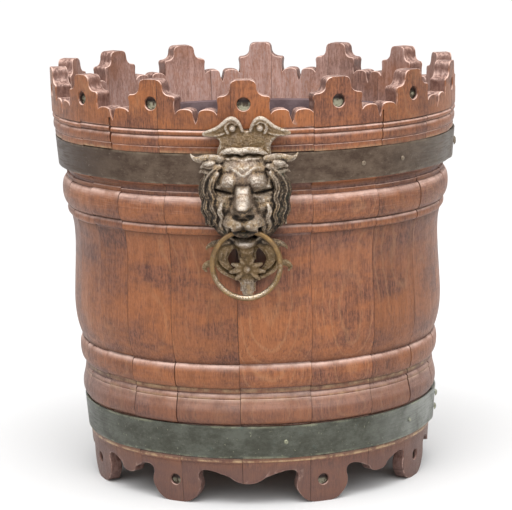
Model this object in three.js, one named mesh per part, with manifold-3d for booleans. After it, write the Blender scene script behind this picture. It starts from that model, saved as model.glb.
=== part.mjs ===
// A coopered oak bucket with a sawn crown rim and lobed feet, turned mouldings, two riveted brass
// bands, a pair of cast lion masks with ring handles, a boarded bottom and a lift-out metal liner.
// Millimetres, +Z up. The origin is on the floor under the middle of the bucket, and the front mask
// faces -Y. Angles are degrees round the bucket from the front, growing towards +X.
import * as THREE from "three";
import { mergeVertices } from "three/addons/utils/BufferGeometryUtils.js";
import Module from "manifold-3d";

const wasm = await Module();
wasm.setup();
const { Vector2, Vector3, ShapeUtils } = THREE;
const { lerp, degToRad, radToDeg } = THREE.MathUtils;

// Bucket
const HEIGHT = 406; // floor to tooth tips
const RIM_RADIUS = 199.5; // outside of the crown teeth
const RIM_WALL = 15; // thickness of the teeth
const FOOT_RADIUS = 167; // outside of the feet at the floor
const FOOT_WALL = 12; // thickness of the feet
const GAP = 0.3; // clearance between neighbouring pieces
const FACET_ROOM = 0.6; // extra room where one many-sided round lies inside another
const CUT_PAST = 9; // how far a cutter reaches past the face that it enters
const HOLE_SPREAD = 3; // degrees to each side of a hole's middle that its cutter can touch
const STAVE_WIDTHS = [70, 67, 59, 60, 64, 60, 67, 63, 62, 65, 64, 64, 61, 60, 53, 49, 42, 51, 65];
const STAVE_FACETS = 2; // flats across a stave
const FIRST_JOINT = -3.3; // degrees, the joint just left of the front mask's centre line

// Crown: each tooth has a round head, a cove, a square shoulder and a small lobe beside the notch
const TEETH = 14;
const TOOTH_TIP = 14; // flat top of the head
const TOOTH_HEAD = 25;
const TOOTH_HEAD_DROP = 7.5;
const TOOTH_SHOULDER = 49;
const TOOTH_SHOULDER_DROP = 15;
const TOOTH_STEP_DROP = 30.5;
const TOOTH_LOBE_RISE = 4;
const NOTCH_DROP = 39.5;
const TOOTH_HOLE = 12.4; // diameter of the blind hole in each tooth
const TOOTH_HOLE_DEPTH = 6;
const TOOTH_HOLE_DROP = 21.8; // hole centre below the tip

// Mouldings of the crown, from the tips down: heights, and depths inside the rim
const CROWN_FACE = 45; // tips to the first bead
const CROWN_FACE_DEPTH = 1;
const RIM_BEAD = 6;
const RIM_BEAD_DEPTH = 0.8;
const COLLAR_BEAD = 10;
const COLLAR_BEAD_DEPTH = 1.5;
const RIM_GROOVE_DEPTH = 3.3;
const COLLAR = 6.2; // plain strip above the upper band
// Mouldings below, on the straight line from the rim to the feet: heights, and how far each stands
// proud of that line or lies behind it
const NECK = 7.8; // hollow below the upper band
const NECK_DEPTH = 6.2;
const NECK_FILLET = 3.8;
const NECK_FILLET_DEPTH = 4.4;
const UPPER_TORUS = 27.5;
const UPPER_TORUS_PROUD = 0.8;
const UPPER_GROOVE_DEPTH = 4;
const SMALL_BEAD = 8.8;
const SMALL_BEAD_DEPTH = 1.4;
const WAIST_DEPTH = 5.1; // narrowest part of the body
const WAIST_AT = 0.23; // share of the way down the body
const COVE = 8; // reach of the hollow above the waist
const BELLY_PROUD = 1.8; // widest part of the body
const BELLY_AT = 0.71;
const BELLY_TURN = 16; // reach of the curve below the belly
const BODY_END_DEPTH = 2.1;
const LOWER_BEAD = 23.2;
const LOWER_BEAD_PROUD = 2.1;
const BODY_FILLET = 4.6;
const BODY_FILLET_DEPTH = 1.8;
const FOOT_TORUS = 30.8;
const FOOT_TORUS_PROUD = 1.9;
const FOOT_GROOVE_DEPTH = 3;
const APRON = 41; // floor to the fillet
const APRON_DEPTH = 0.5;
const APRON_FILLET = 5.2;
const APRON_FILLET_PROUD = 0.5;

// Feet and apron, measured along the foot of the wall
const FEET_AT = [23.1, 66.5, 112, 157, 203, 248, 293, 333.6]; // hand-spaced
const FOOT_FLAT = 18; // flat underside of a foot
const FOOT_WIDTH = 52.4;
const FOOT_BULGE_HEIGHT = 17; // height of the widest part
const FOOT_NECK = 48.6;
const FOOT_NECK_HEIGHT = 27.4;
const ARCH_HEIGHT = 33.4;
const ARCH_AT = 35; // crown of the arch, from the middle of the foot
const SCALLOP_HEIGHT = 20.6; // lowest point of the apron between two feet
const SAWN_CURVE = 2; // straight cuts in each sawn curve
const FOOT_HOLE = 10.5;
const FOOT_HOLE_DEPTH = 5;
const FOOT_HOLE_HEIGHT = 21.8;

// Bands: sheet brass with lapped ends
const BAND_THICKNESS = 1.6;
const UPPER_BAND_HEIGHT = 28.6;
const LOWER_BAND_HEIGHT = 31.4;
const SEAT_DEPTH = 0.7; // oak under a band, behind the straight line of the wall
const SEAT_MARGIN = 0.5; // oak seat beyond each edge of the band
const LAP_AT = 88; // degrees, middle of the lap
const LAP_LENGTH = 34;
const BAND_FACETS = 40;
const RIVET_HEAD = 7;
const RIVET_HEAD_HEIGHT = 2.2;
const RIVET_SHANK = 3;
const RIVET_LENGTH = 9; // shank below the head
const NAIL_HEAD = 4.6;
const NAIL_HEAD_HEIGHT = 1.3;
const NAIL_SHANK = 2;
const NAIL_LENGTH = 8;
const PIN_SIDES = 6;
const HOLE_SIDES = 8;
const LAP_RIVET_SPACING = 14;
const UPPER_NAILS_AT = [33.6, 47.7];
const LOWER_NAILS_AT = [10.5, 59];

// Bottom of three boards in the croze groove, doweled together
const BOTTOM_HEIGHT = 56; // floor to the underside of the boards
const BOTTOM_THICKNESS = 15;
const BOTTOM_CHAMFER = 3;
const CROZE_DEPTH = 4.5;
const CROZE_WIDTH = 8;
const BOTTOM_SIDE_BOARD = 94; // middle joint to joint is what is left
const DOWEL = 8;
const DOWEL_LENGTH = 36;
const DOWEL_SPREAD = 150; // between the two dowels of one joint
const BOTTOM_FACETS = 30;

// Liner
const LINER_SHEET = 1.6;
const LINER_OVER_STUDS = 30; // upper studs to the top of the rolled rim
const LINER_RIM_ROLL = 5;
const LINER_ROLL_EDGE = 1.2; // chamfer of the rolled rim
const LINER_CORNER = 6; // chamfer of the floor's edge
const LINER_SIDE_ROOM = 8.5; // wall of the liner to the oak
const LINER_RIM_ROOM = 1.6; // rolled rim to the oak
const LINER_FACETS = 28;

// Ring handles, each hung on its own bar in the mouth of a mask
const MOUTH_DROP = 136; // tooth tips to the middle of the bar in the mouth
const RING_RADIUS = 31; // to the middle of the bar
const RING_BAR = 5.2;
const RING_STAND_OFF = 19.3; // back of the mask to the middle of the bar
const RING_MOUTH_ROOM = 3.9; // bore of the mouth beyond the bar, for the curve of the ring as it turns
const RING_STEPS = 24;
const RING_SIDES = 6;
const BORE_SIDES = 12;

// Masks, fixed by two studs each; heights are taken from the bar in the mouth
const STUD = 6;
const STUD_INTO_MASK = 11;
const STUD_ROOM = 0.3;
const NUT_ACROSS = 11;
const NUT_HEIGHT = 4.5;
const STUD_PAST_NUT = 1;
const UPPER_STUD = 48;
const LOWER_STUD = -18;

// Face: forms that swell over the casting, each with its middle, its half width, half height and rise
const FACE_FORMS = [
  { name: "skull", up: 30, wide: 40, high: 48, rise: 20 },
  { name: "forehead", up: 52, wide: 17, high: 11, rise: 8 },
  { name: "brow", side: 14, up: 47, wide: 8, high: 6.5, rise: 7 },
  { name: "eye", side: 18, up: 39, wide: 8, high: 4, rise: -5 },
  { name: "nose", up: 27, wide: 8.5, high: 17, rise: 20 },
  { name: "nose tip", up: 19.5, wide: 9.5, high: 7, rise: 8 },
  { name: "muzzle", side: 10, up: 12, wide: 10, high: 8.5, rise: 16 },
  { name: "cheek", side: 24, up: 26, wide: 9, high: 10, rise: 5 },
  { name: "jaw", up: -1, wide: 13, high: 11.5, rise: 21 },
  { name: "mane", side: 33, up: 30, wide: 7, high: 26, rise: -5 },
];
const MANE_LINE = [
  [18, -12], [34, -7], [36, 2], [38, 16], [41.5, 32], [37, 50], [30, 63], [22, 74],
]; // half width of the head and height
const FACE_ROWS = 11;
const FACE_COLUMNS = 12;
const CASTING_BEHIND = 40; // the castings are first made this much deeper, and then cut to the wall
const BACKING_REACH = 45; // degrees to each side
const BACKING_FACETS = 18;
const LUMP_SIDES = 6;
const HOLLOW = { up: 32, wide: 22, deep: 20, high: 24 }; // in the back of the head
const TONGUE = { up: -17, wide: 9, deep: 10, high: 9 };
// Crown and ears above the head, and how far each stands in front of the back of the casting
const CROWN_SCROLL = [
  [2, 79], [2, 90], [4.5, 99], [9, 104], [16, 104.5], [22, 101], [41, 89.5], [41.5, 85.5],
  [24, 86], [21, 79], [20, 66], [2, 66],
];
const CROWN_SCROLL_THICKNESS = 10;
const CROWN_EYE = { side: 13, up: 95, radius: 5 };
const CROWN_BAND = [[-22, 70], [22, 70], [22, 80], [-22, 80]];
const CROWN_BAND_THICKNESS = 13;
const CROWN_BRIDGE = [[-4, 68], [4, 68], [4, 88], [-4, 88]];
const CROWN_BRIDGE_THICKNESS = 9;
const EAR = [[20, 54], [36, 58], [47, 60], [49.5, 68], [44, 66.5], [33, 71], [20, 74]];
const EAR_THICKNESS = 6;
// Pierced plate below the jaw: a post with a cross leaf between two curled side leaves
const TAIL_EDGE = [
  [8, -62], [8, -51], [18, -50], [20, -41], [30, -41], [36, -39], [41, -35], [40, -29],
  [33, -26], [38, -19], [36, -14], [28, -12], [26, 2],
];
const TAIL_SLOT = [[9.5, -38], [15, -34], [15, -23], [9.5, -20]];
const TAIL_THICKNESS = 2.5;

const OAK = new THREE.MeshStandardMaterial({ color: 0x8f5636, roughness: 0.55, metalness: 0 });
const BOARD_OAK = new THREE.MeshStandardMaterial({ color: 0x7a5540, roughness: 0.7, metalness: 0 });
const BAND_BRASS = new THREE.MeshStandardMaterial({ color: 0x57564a, roughness: 0.5, metalness: 0.8 });
const CAST_BRASS = new THREE.MeshStandardMaterial({ color: 0x97854f, roughness: 0.4, metalness: 0.9 });
const STEEL = new THREE.MeshStandardMaterial({ color: 0x55504a, roughness: 0.6, metalness: 0.8 });
const LINER_METAL = new THREE.MeshStandardMaterial({ color: 0x4d4a50, roughness: 0.6, metalness: 0.7 });

// A point of the bucket from its angle, radius and height
function at(degrees, radius, z) {
  const angle = degToRad(degrees);
  return new Vector3(radius * Math.sin(angle), -radius * Math.cos(angle), z);
}

// A closed surface through a row of sections that all follow the same outline
function loft(sections, outline, closed = false) {
  const count = outline.length;
  const index = [];
  const spans = closed ? sections.length : sections.length - 1;
  for (let i = 0; i < spans; i++) {
    const here = i * count;
    const there = ((i + 1) % sections.length) * count;
    for (let j = 0; j < count; j++) {
      const next = (j + 1) % count;
      index.push(here + j, here + next, there + next);
      index.push(here + j, there + next, there + j);
    }
  }
  if (!closed) {
    const faces = ShapeUtils.triangulateShape(outline, []);
    const area = faces.reduce((sum, face) => sum + ShapeUtils.area(face.map((i) => outline[i])), 0);
    const agrees = area * ShapeUtils.area(outline) > 0;
    const end = (sections.length - 1) * count;
    for (const face of faces) {
      const [p, q, r] = agrees ? face : [face[0], face[2], face[1]];
      index.push(p, r, q, end + p, end + q, end + r);
    }
  }
  const positions = sections.flat().flatMap((point) => point.toArray());
  const geometry = new THREE.BufferGeometry();
  geometry.setAttribute("position", new THREE.Float32BufferAttribute(positions, 3));
  geometry.setIndex(index);
  return geometry;
}

// A geometry as a solid that can be joined and cut
function solid(geometry) {
  const bare = new THREE.BufferGeometry();
  bare.setAttribute("position", geometry.getAttribute("position"));
  bare.setIndex(geometry.getIndex());
  const merged = mergeVertices(bare, 1e-4);
  const vertProperties = new Float32Array(merged.getAttribute("position").array);
  const triVerts = new Uint32Array(merged.getIndex().array);
  return new wasm.Manifold(new wasm.Mesh({ numProp: 3, vertProperties, triVerts }));
}

const cut = (body, ...tools) => tools.reduce((rest, tool) => rest.subtract(tool), body);
const join = (bodies) => bodies.reduce((whole, body) => whole.add(body));

// A ring or part of a ring turned from an outline of radius and height, clockwise
function turned(outline, from, to, steps) {
  const whole = to - from >= 360;
  const sections = [];
  for (let i = 0; i < (whole ? steps : steps + 1); i++) {
    const degrees = lerp(from, to, i / steps);
    sections.push(outline.map((p) => at(degrees, p.x, p.y)));
  }
  return loft(sections, outline, whole);
}

// A block whose sides all point at the axis, from an anticlockwise outline of degrees and height
function radialBlock(outline, inner, outer) {
  const sections = [inner, outer].map((radius) => outline.map((p) => at(p.x, radius, p.y)));
  return loft(sections, outline);
}

// A round bar lying along a radius of the bucket
function radialBar(degrees, z, diameter, inner, outer, sides = HOLE_SIDES) {
  const bar = new THREE.CylinderGeometry(diameter / 2, diameter / 2, outer - inner, sides);
  bar.translate(0, -(inner + outer) / 2, 0);
  bar.rotateZ(degToRad(degrees));
  bar.translate(0, 0, z);
  return bar;
}

// Half-round moulding down the profile between two points, as far as the given radius
function bead(line, top, bottom, radius, steps) {
  const middle = (top.x + bottom.x) / 2;
  for (let i = 1; i <= steps; i++) {
    const angle = (Math.PI * i) / steps;
    const base = lerp(top.x, bottom.x, i / steps);
    const z = (top.y + bottom.y) / 2 + ((top.y - bottom.y) / 2) * Math.cos(angle);
    line.push(new Vector2(base + (radius - middle) * Math.sin(angle), z));
  }
}

// Heights of the mouldings, stacked down from the tips and up from the floor
const rimBeadTop = HEIGHT - CROWN_FACE;
const collarBeadTop = rimBeadTop - RIM_BEAD;
const collarTop = collarBeadTop - COLLAR_BEAD;
const upperSeatTop = collarTop - COLLAR;
const upperSeatBottom = upperSeatTop - UPPER_BAND_HEIGHT - 2 * SEAT_MARGIN;
const neckFilletTop = upperSeatBottom - NECK;
const upperTorusTop = neckFilletTop - NECK_FILLET;
const smallBeadTop = upperTorusTop - UPPER_TORUS;
const bodyTop = smallBeadTop - SMALL_BEAD;
const lowerSeatBottom = APRON + APRON_FILLET;
const lowerSeatTop = lowerSeatBottom + LOWER_BAND_HEIGHT + 2 * SEAT_MARGIN;
const footTorusTop = lowerSeatTop + FOOT_TORUS;
const lowerBeadBottom = footTorusTop + BODY_FILLET;
const bodyBottom = lowerBeadBottom + LOWER_BEAD;

// Straight line from the feet to the rim, on the outside and on the inside of the wall
const outerRadius = (z) => lerp(FOOT_RADIUS, RIM_RADIUS, z / HEIGHT);
const innerRadius = (z) => lerp(FOOT_RADIUS - FOOT_WALL, RIM_RADIUS - RIM_WALL, z / HEIGHT);

// A point of the outside, so far proud of the straight line of the wall
const proudOf = (z, proud) => new Vector2(outerRadius(z) + proud, z);
const behindRim = (z, depth) => new Vector2(RIM_RADIUS - depth, z);

// Outside of the staves from the tips to the floor
function outsideLine() {
  const line = [behindRim(HEIGHT, 0), behindRim(rimBeadTop, CROWN_FACE_DEPTH)];
  const grooves = [rimBeadTop, collarBeadTop, collarTop].map((z) => behindRim(z, RIM_GROOVE_DEPTH));
  line.push(grooves[0]);
  bead(line, grooves[0], grooves[1], RIM_RADIUS - RIM_BEAD_DEPTH, 2);
  bead(line, grooves[1], grooves[2], RIM_RADIUS - COLLAR_BEAD_DEPTH, 3);
  line.push(behindRim(upperSeatTop, RIM_GROOVE_DEPTH));
  line.push(proudOf(upperSeatTop, -SEAT_DEPTH), proudOf(upperSeatBottom, -SEAT_DEPTH));
  line.push(proudOf(lerp(upperSeatBottom, neckFilletTop, 0.5), -NECK_DEPTH));
  line.push(proudOf(neckFilletTop, -NECK_DEPTH), proudOf(neckFilletTop, -NECK_FILLET_DEPTH));
  const torusTop = proudOf(upperTorusTop, -NECK_FILLET_DEPTH);
  const torusBottom = proudOf(smallBeadTop, -UPPER_GROOVE_DEPTH);
  line.push(torusTop);
  bead(line, torusTop, torusBottom, proudOf(torusTop.y, UPPER_TORUS_PROUD).x, 4);
  const beadBottom = proudOf(bodyTop, -UPPER_GROOVE_DEPTH);
  bead(line, torusBottom, beadBottom, proudOf(bodyTop, -SMALL_BEAD_DEPTH).x, 2);
  bodyLine(line);
  const bodyEnd = proudOf(bodyBottom, -BODY_END_DEPTH);
  const fillet = proudOf(lowerBeadBottom, -BODY_FILLET_DEPTH);
  bead(line, bodyEnd, fillet, proudOf(lowerBeadBottom, LOWER_BEAD_PROUD).x, 3);
  const footTop = proudOf(footTorusTop, -FOOT_GROOVE_DEPTH);
  const footBottom = proudOf(lowerSeatTop, -FOOT_GROOVE_DEPTH);
  line.push(proudOf(footTorusTop, -BODY_FILLET_DEPTH), footTop);
  bead(line, footTop, footBottom, proudOf(footTop.y, FOOT_TORUS_PROUD).x, 3);
  line.push(proudOf(lowerSeatTop, -SEAT_DEPTH), proudOf(lowerSeatBottom, -SEAT_DEPTH));
  line.push(proudOf(lowerSeatBottom, APRON_FILLET_PROUD), proudOf(APRON, APRON_FILLET_PROUD));
  line.push(proudOf(APRON, -APRON_DEPTH), proudOf(0, 0));
  return line;
}

// Body: a cove under the small bead, a slim waist and a belly that turns in above the lower bead
function bodyLine(line) {
  const waist = proudOf(lerp(bodyTop, bodyBottom, WAIST_AT), -WAIST_DEPTH);
  const belly = proudOf(lerp(bodyTop, bodyBottom, BELLY_AT), BELLY_PROUD);
  const start = proudOf(bodyTop - 1.5, -UPPER_GROOVE_DEPTH - 0.8);
  const end = proudOf(bodyBottom, -BODY_END_DEPTH);
  const cove = new THREE.QuadraticBezierCurve(start, new Vector2(waist.x, bodyTop - COVE), waist);
  const sway = new THREE.CubicBezierCurve(
    waist,
    new Vector2(waist.x, lerp(waist.y, belly.y, 0.4)),
    new Vector2(belly.x, lerp(waist.y, belly.y, 0.6)),
    belly,
  );
  const turning = new Vector2(belly.x, bodyBottom + BELLY_TURN);
  const turnIn = new THREE.QuadraticBezierCurve(belly, turning, end);
  line.push(...cove.getPoints(2), ...sway.getPoints(2).slice(1), ...turnIn.getPoints(3).slice(1));
}

// Inside of the staves from the floor to the tips, with the croze groove
function insideLine() {
  const middle = BOTTOM_HEIGHT + BOTTOM_THICKNESS / 2;
  const wall = (z) => new Vector2(innerRadius(z), z);
  const groove = (z) => new Vector2(innerRadius(z) + CROZE_DEPTH, z);
  return [
    wall(0),
    wall(middle - CROZE_WIDTH / 2),
    groove(middle - CROZE_WIDTH / 2),
    groove(middle + CROZE_WIDTH / 2),
    wall(middle + CROZE_WIDTH / 2),
    wall(HEIGHT),
  ];
}

// Right-hand edge of a tooth, from its flat top to the bottom of the notch: along the rim, and down
function toothEdge(halfPitch) {
  const edge = new THREE.Path();
  const head = TOOTH_HEAD / 2;
  const shoulder = TOOTH_SHOULDER / 2;
  const lobeDrop = TOOTH_STEP_DROP - TOOTH_LOBE_RISE;
  edge.moveTo(TOOTH_TIP / 2, 0);
  edge.quadraticCurveTo(head, 0, head, TOOTH_HEAD_DROP);
  edge.quadraticCurveTo(head + 1, TOOTH_SHOULDER_DROP - 1, shoulder - 0.6, TOOTH_SHOULDER_DROP);
  edge.lineTo(shoulder, TOOTH_STEP_DROP);
  edge.quadraticCurveTo(shoulder + 2, lobeDrop, lerp(shoulder, halfPitch, 0.5), lobeDrop);
  edge.quadraticCurveTo(halfPitch - 2, lobeDrop, halfPitch, NOTCH_DROP);
  return edge.getPoints(SAWN_CURVE);
}

// What is sawn away between two teeth
function notchCutter(tooth) {
  const pitch = 360 / TEETH;
  const perMm = 360 / (2 * Math.PI * RIM_RADIUS);
  const edge = toothEdge((pitch / perMm) / 2);
  const left = edge.map((p) => new Vector2(tooth * pitch + p.x * perMm, HEIGHT - p.y));
  const right = edge.map((p) => new Vector2((tooth + 1) * pitch - p.x * perMm, HEIGHT - p.y));
  const outline = [...left, ...right.reverse().slice(1)];
  outline.push(new Vector2(outline.at(-1).x, HEIGHT + RIM_WALL));
  outline.push(new Vector2(outline[0].x, HEIGHT + RIM_WALL));
  return radialBlock(outline, innerRadius(0) - RIM_WALL, RIM_RADIUS + 2 * RIM_WALL);
}

// Right-hand edge of a foot, from its flat underside to the lowest point of the next scallop
function footEdge(toScallop) {
  const edge = new THREE.Path();
  edge.moveTo(FOOT_FLAT / 2, 0);
  edge.quadraticCurveTo(FOOT_WIDTH / 2 - 1, 1, FOOT_WIDTH / 2, FOOT_BULGE_HEIGHT);
  edge.quadraticCurveTo(FOOT_WIDTH / 2, FOOT_NECK_HEIGHT - 4, FOOT_NECK / 2, FOOT_NECK_HEIGHT);
  edge.quadraticCurveTo(FOOT_NECK / 2 + 3, ARCH_HEIGHT, ARCH_AT, ARCH_HEIGHT);
  edge.quadraticCurveTo(lerp(ARCH_AT, toScallop, 0.37), SCALLOP_HEIGHT, toScallop, SCALLOP_HEIGHT);
  return edge.getPoints(SAWN_CURVE);
}

// What is sawn away between two feet
function archCutter(left, right) {
  const perMm = 360 / (2 * Math.PI * FOOT_RADIUS);
  const edge = footEdge((right - left) / perMm / 2);
  const rising = edge.map((p) => new Vector2(left + p.x * perMm, p.y));
  const falling = edge.map((p) => new Vector2(right - p.x * perMm, p.y));
  const outline = [...rising, ...falling.reverse().slice(1)];
  outline.push(new Vector2(outline.at(-1).x, -RIM_WALL));
  outline.push(new Vector2(outline[0].x, -RIM_WALL));
  return radialBlock(outline.reverse(), innerRadius(0) - 3 * RIM_WALL, RIM_RADIUS + RIM_WALL);
}

// Where each band lies, between the edges of its seat
const upperBand = {
  name: "upper_band",
  bottom: upperSeatBottom + SEAT_MARGIN,
  top: upperSeatTop - SEAT_MARGIN,
};
const lowerBand = {
  name: "lower_band",
  bottom: lowerSeatBottom + SEAT_MARGIN,
  top: lowerSeatTop - SEAT_MARGIN,
};
const seatRoom = GAP + FACET_ROOM;
const lapRise = BAND_THICKNESS + GAP;

// Inside of a band at a height
const bandRadius = (z) => outerRadius(z) - SEAT_DEPTH + seatRoom;

// A strip of sheet bent round once and lapped over its own beginning
function hoop(band) {
  const lap = radToDeg(LAP_LENGTH / bandRadius(band.bottom));
  const ramp = lap / 2;
  const outline = [
    new Vector2(bandRadius(band.bottom), band.bottom),
    new Vector2(bandRadius(band.top), band.top),
    new Vector2(bandRadius(band.top) + BAND_THICKNESS, band.top),
    new Vector2(bandRadius(band.bottom) + BAND_THICKNESS, band.bottom),
  ];
  const places = [];
  for (let i = 0; i <= BAND_FACETS; i++) {
    places.push([lerp(LAP_AT - lap / 2, LAP_AT + 360 - lap / 2 - ramp, i / BAND_FACETS), 0]);
  }
  for (const share of [0, 0.5, 1]) {
    places.push([LAP_AT + 360 - lap / 2 + share * lap, lapRise]);
  }
  const sections = places.map(([degrees, rise]) =>
    outline.map((p) => at(degrees, p.x + rise, p.y)),
  );
  return loft(sections, outline);
}

// A domed head on a pin, driven in along a radius, with its head seated at the given radius
function fastener(degrees, z, seat, head, headHeight, shank, length) {
  const line = [
    new Vector2(0, -length),
    new Vector2(shank / 2, -length + shank),
    new Vector2(shank / 2, 0),
    new Vector2(head / 2, 0),
    new Vector2(head * 0.36, headHeight * 0.7),
    new Vector2(0, headHeight),
  ];
  const pin = new THREE.LatheGeometry(line, PIN_SIDES);
  pin.rotateX(Math.PI);
  pin.translate(0, -seat, 0);
  pin.rotateZ(degToRad(degrees));
  pin.translate(0, 0, z);
  return pin;
}

// Every nail and rivet of the bands: where it is, and the sizes of its head and shank
function bandFasteners() {
  const list = [];
  const nail = { head: NAIL_HEAD, height: NAIL_HEAD_HEIGHT, shank: NAIL_SHANK, length: NAIL_LENGTH };
  const rivet = { head: RIVET_HEAD, height: RIVET_HEAD_HEIGHT, shank: RIVET_SHANK, length: RIVET_LENGTH };
  const add = (band, name, degrees, z, rise, kind) => {
    const seat = bandRadius(z) + BAND_THICKNESS + rise + GAP;
    list.push({ band, name: `${band.name}_${name}`, degrees, z, seat, ...kind });
  };
  const middle = (band) => (band.bottom + band.top) / 2;
  UPPER_NAILS_AT.forEach((degrees, i) => {
    add(upperBand, `nail_${i + 1}`, degrees, middle(upperBand), 0, nail);
  });
  LOWER_NAILS_AT.forEach((degrees, i) => {
    add(lowerBand, `nail_${i + 1}`, degrees, middle(lowerBand), 0, nail);
  });
  const half = LAP_RIVET_SPACING / 2;
  const aside = radToDeg(half / bandRadius(upperBand.bottom));
  add(upperBand, "rivet_1", LAP_AT - aside, middle(upperBand), lapRise, rivet);
  add(upperBand, "rivet_2", LAP_AT + aside, middle(upperBand), lapRise, rivet);
  add(lowerBand, "rivet_1", LAP_AT, middle(lowerBand) + half, lapRise, rivet);
  add(lowerBand, "rivet_2", LAP_AT, middle(lowerBand) - half, lapRise, rivet);
  return list;
}

// Line behind a mask: it leans on the crown and the upper torus, and clears all that stands proud
const mouth = HEIGHT - MOUTH_DROP;
const maskFoot = mouth + TAIL_EDGE[0][1];
const torusMiddle = (upperTorusTop + smallBeadTop) / 2;
const torusCrest = outerRadius(upperTorusTop) + UPPER_TORUS_PROUD;
const maskLean = (RIM_RADIUS - CROWN_FACE_DEPTH - torusCrest) / (rimBeadTop - torusMiddle);
function maskBackRadius(z) {
  const standing = outsideLine().filter((p) => p.y >= maskFoot);
  const bandOutside = [upperBand.top, upperBand.bottom].map(
    (edge) => new Vector2(bandRadius(edge) + BAND_THICKNESS, edge),
  );
  return GAP + Math.max(...[...standing, ...bandOutside].map((p) => p.x + maskLean * (z - p.y)));
}
const mouthBack = maskBackRadius(mouth);
const ringReach = mouthBack + RING_STAND_OFF; // axis of the bucket to the bar in the mouth

// A round lump of the casting: its middle, in front of the back at that height, and its radii
function lump(side, up, front, wide, deep, high) {
  const ball = new THREE.SphereGeometry(1, LUMP_SIDES, LUMP_SIDES - 2);
  ball.scale(wide, deep, high);
  ball.translate(side, -maskBackRadius(mouth + up) - front, mouth + up);
  return solid(ball);
}

// A flat part of the casting, from an outline seen from the front, as thick as given at its middle
function plate(outline, thickness, holes = []) {
  const shape = new THREE.Shape(outline);
  shape.holes = holes.map((points) => new THREE.Path(points));
  const middle = new THREE.Box2().setFromPoints(outline).getCenter(new Vector2()).y;
  const back = maskBackRadius(mouth + middle);
  const geometry = new THREE.ExtrudeGeometry(shape, {
    depth: CASTING_BEHIND + thickness,
    bevelEnabled: false,
  });
  geometry.rotateX(Math.PI / 2);
  geometry.translate(0, CASTING_BEHIND - back, mouth);
  return solid(geometry);
}

const points = (pairs) => pairs.map(([x, y]) => new Vector2(x, y));
const mirrored = (pairs) => pairs.map(([x, y]) => [-x, y]).reverse();
const bothSides = (pairs) => [points(pairs), points(mirrored(pairs))];

// Front of the casting at a place on the face: the back, and every form that swells over it
function faceReach(x, up) {
  let reach = maskBackRadius(mouth + up);
  for (const { side = 0, up: middle, wide, high, rise } of FACE_FORMS) {
    for (const place of side ? [-side, side] : [0]) {
      const away = ((x - place) / wide) ** 2 + ((up - middle) / high) ** 2;
      reach += rise * Math.exp(-(away ** 2));
    }
  }
  return reach;
}

// Head of the lion: level sections from the beard up to the brow, as wide as the mane
function lionHead() {
  const mane = new THREE.SplineCurve(points(MANE_LINE));
  const behind = CASTING_BEHIND - mouthBack;
  const sections = [];
  for (let i = 0; i <= FACE_ROWS; i++) {
    const { x: half, y: up } = mane.getPoint(i / FACE_ROWS);
    const section = [new Vector3(half, behind, mouth + up), new Vector3(-half, behind, mouth + up)];
    for (let j = 0; j <= FACE_COLUMNS; j++) {
      const x = lerp(-half, half, j / FACE_COLUMNS);
      section.push(new Vector3(x, -faceReach(x, up), mouth + up));
    }
    sections.push(section);
  }
  return solid(loft(sections, sections[0].map((p) => new Vector2(p.x, p.y))));
}

// Lion mask in one casting: head, tongue, crown, ears and pierced tail plate
function lionMask() {
  const tail = points([...TAIL_EDGE, ...mirrored(TAIL_EDGE)]);
  const { wide, deep, high } = TONGUE;
  const forms = [
    lionHead(),
    lump(0, TONGUE.up, GAP, wide, deep, high),
    plate(tail, TAIL_THICKNESS, bothSides(TAIL_SLOT)),
    plate(points(CROWN_BAND), CROWN_BAND_THICKNESS),
    plate(points(CROWN_BRIDGE), CROWN_BRIDGE_THICKNESS),
    ...bothSides(CROWN_SCROLL).map((outline) => plate(outline, CROWN_SCROLL_THICKNESS)),
    ...bothSides(EAR).map((outline) => plate(outline, EAR_THICKNESS)),
  ];
  for (const side of [-CROWN_EYE.side, CROWN_EYE.side]) {
    const { up, radius } = CROWN_EYE;
    forms.push(lump(side, up, CROWN_SCROLL_THICKNESS, radius, radius, radius));
  }
  const hollow = lump(0, HOLLOW.up, 0, HOLLOW.wide, HOLLOW.deep, HOLLOW.high);
  return cut(join(forms), solid(maskBacking()), solid(mouthBore()), hollow);
}

// Bore through the jaws, wide enough for the curve of the ring at every angle
function mouthBore() {
  const diameter = RING_BAR + 2 * RING_MOUTH_ROOM;
  const bore = new THREE.CylinderGeometry(diameter / 2, diameter / 2, 4 * RING_RADIUS, BORE_SIDES);
  bore.rotateZ(Math.PI / 2);
  bore.translate(0, -ringReach, mouth);
  return bore;
}

// The space behind a mask, which takes away what would reach into the bucket
function maskBacking() {
  const outline = [
    new Vector2(innerRadius(0) / 2, 0),
    new Vector2(innerRadius(0) / 2, HEIGHT + RIM_WALL),
    new Vector2(maskBackRadius(HEIGHT + RIM_WALL), HEIGHT + RIM_WALL),
    new Vector2(maskBackRadius(0), 0),
  ];
  return turned(outline, -BACKING_REACH, BACKING_REACH, BACKING_FACETS);
}

// A ring hanging straight down from the mouth
function ringHandle() {
  const ring = new THREE.TorusGeometry(RING_RADIUS, RING_BAR / 2, RING_SIDES, RING_STEPS);
  ring.rotateX(Math.PI / 2);
  ring.translate(0, -ringReach, mouth - RING_RADIUS);
  return ring;
}

const STUD_HEIGHTS = { upper: mouth + UPPER_STUD, lower: mouth + LOWER_STUD };

// Inside of the wall where a nut sits, at the nut's lower edge
const innerFace = (z) => innerRadius(z - NUT_ACROSS) - FACET_ROOM;

// Stud from the mask through the oak to its nut
function stud(z) {
  const inner = innerFace(z) - NUT_HEIGHT - STUD_PAST_NUT - GAP;
  return radialBar(0, z, STUD, inner, maskBackRadius(z) + STUD_INTO_MASK);
}

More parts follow.
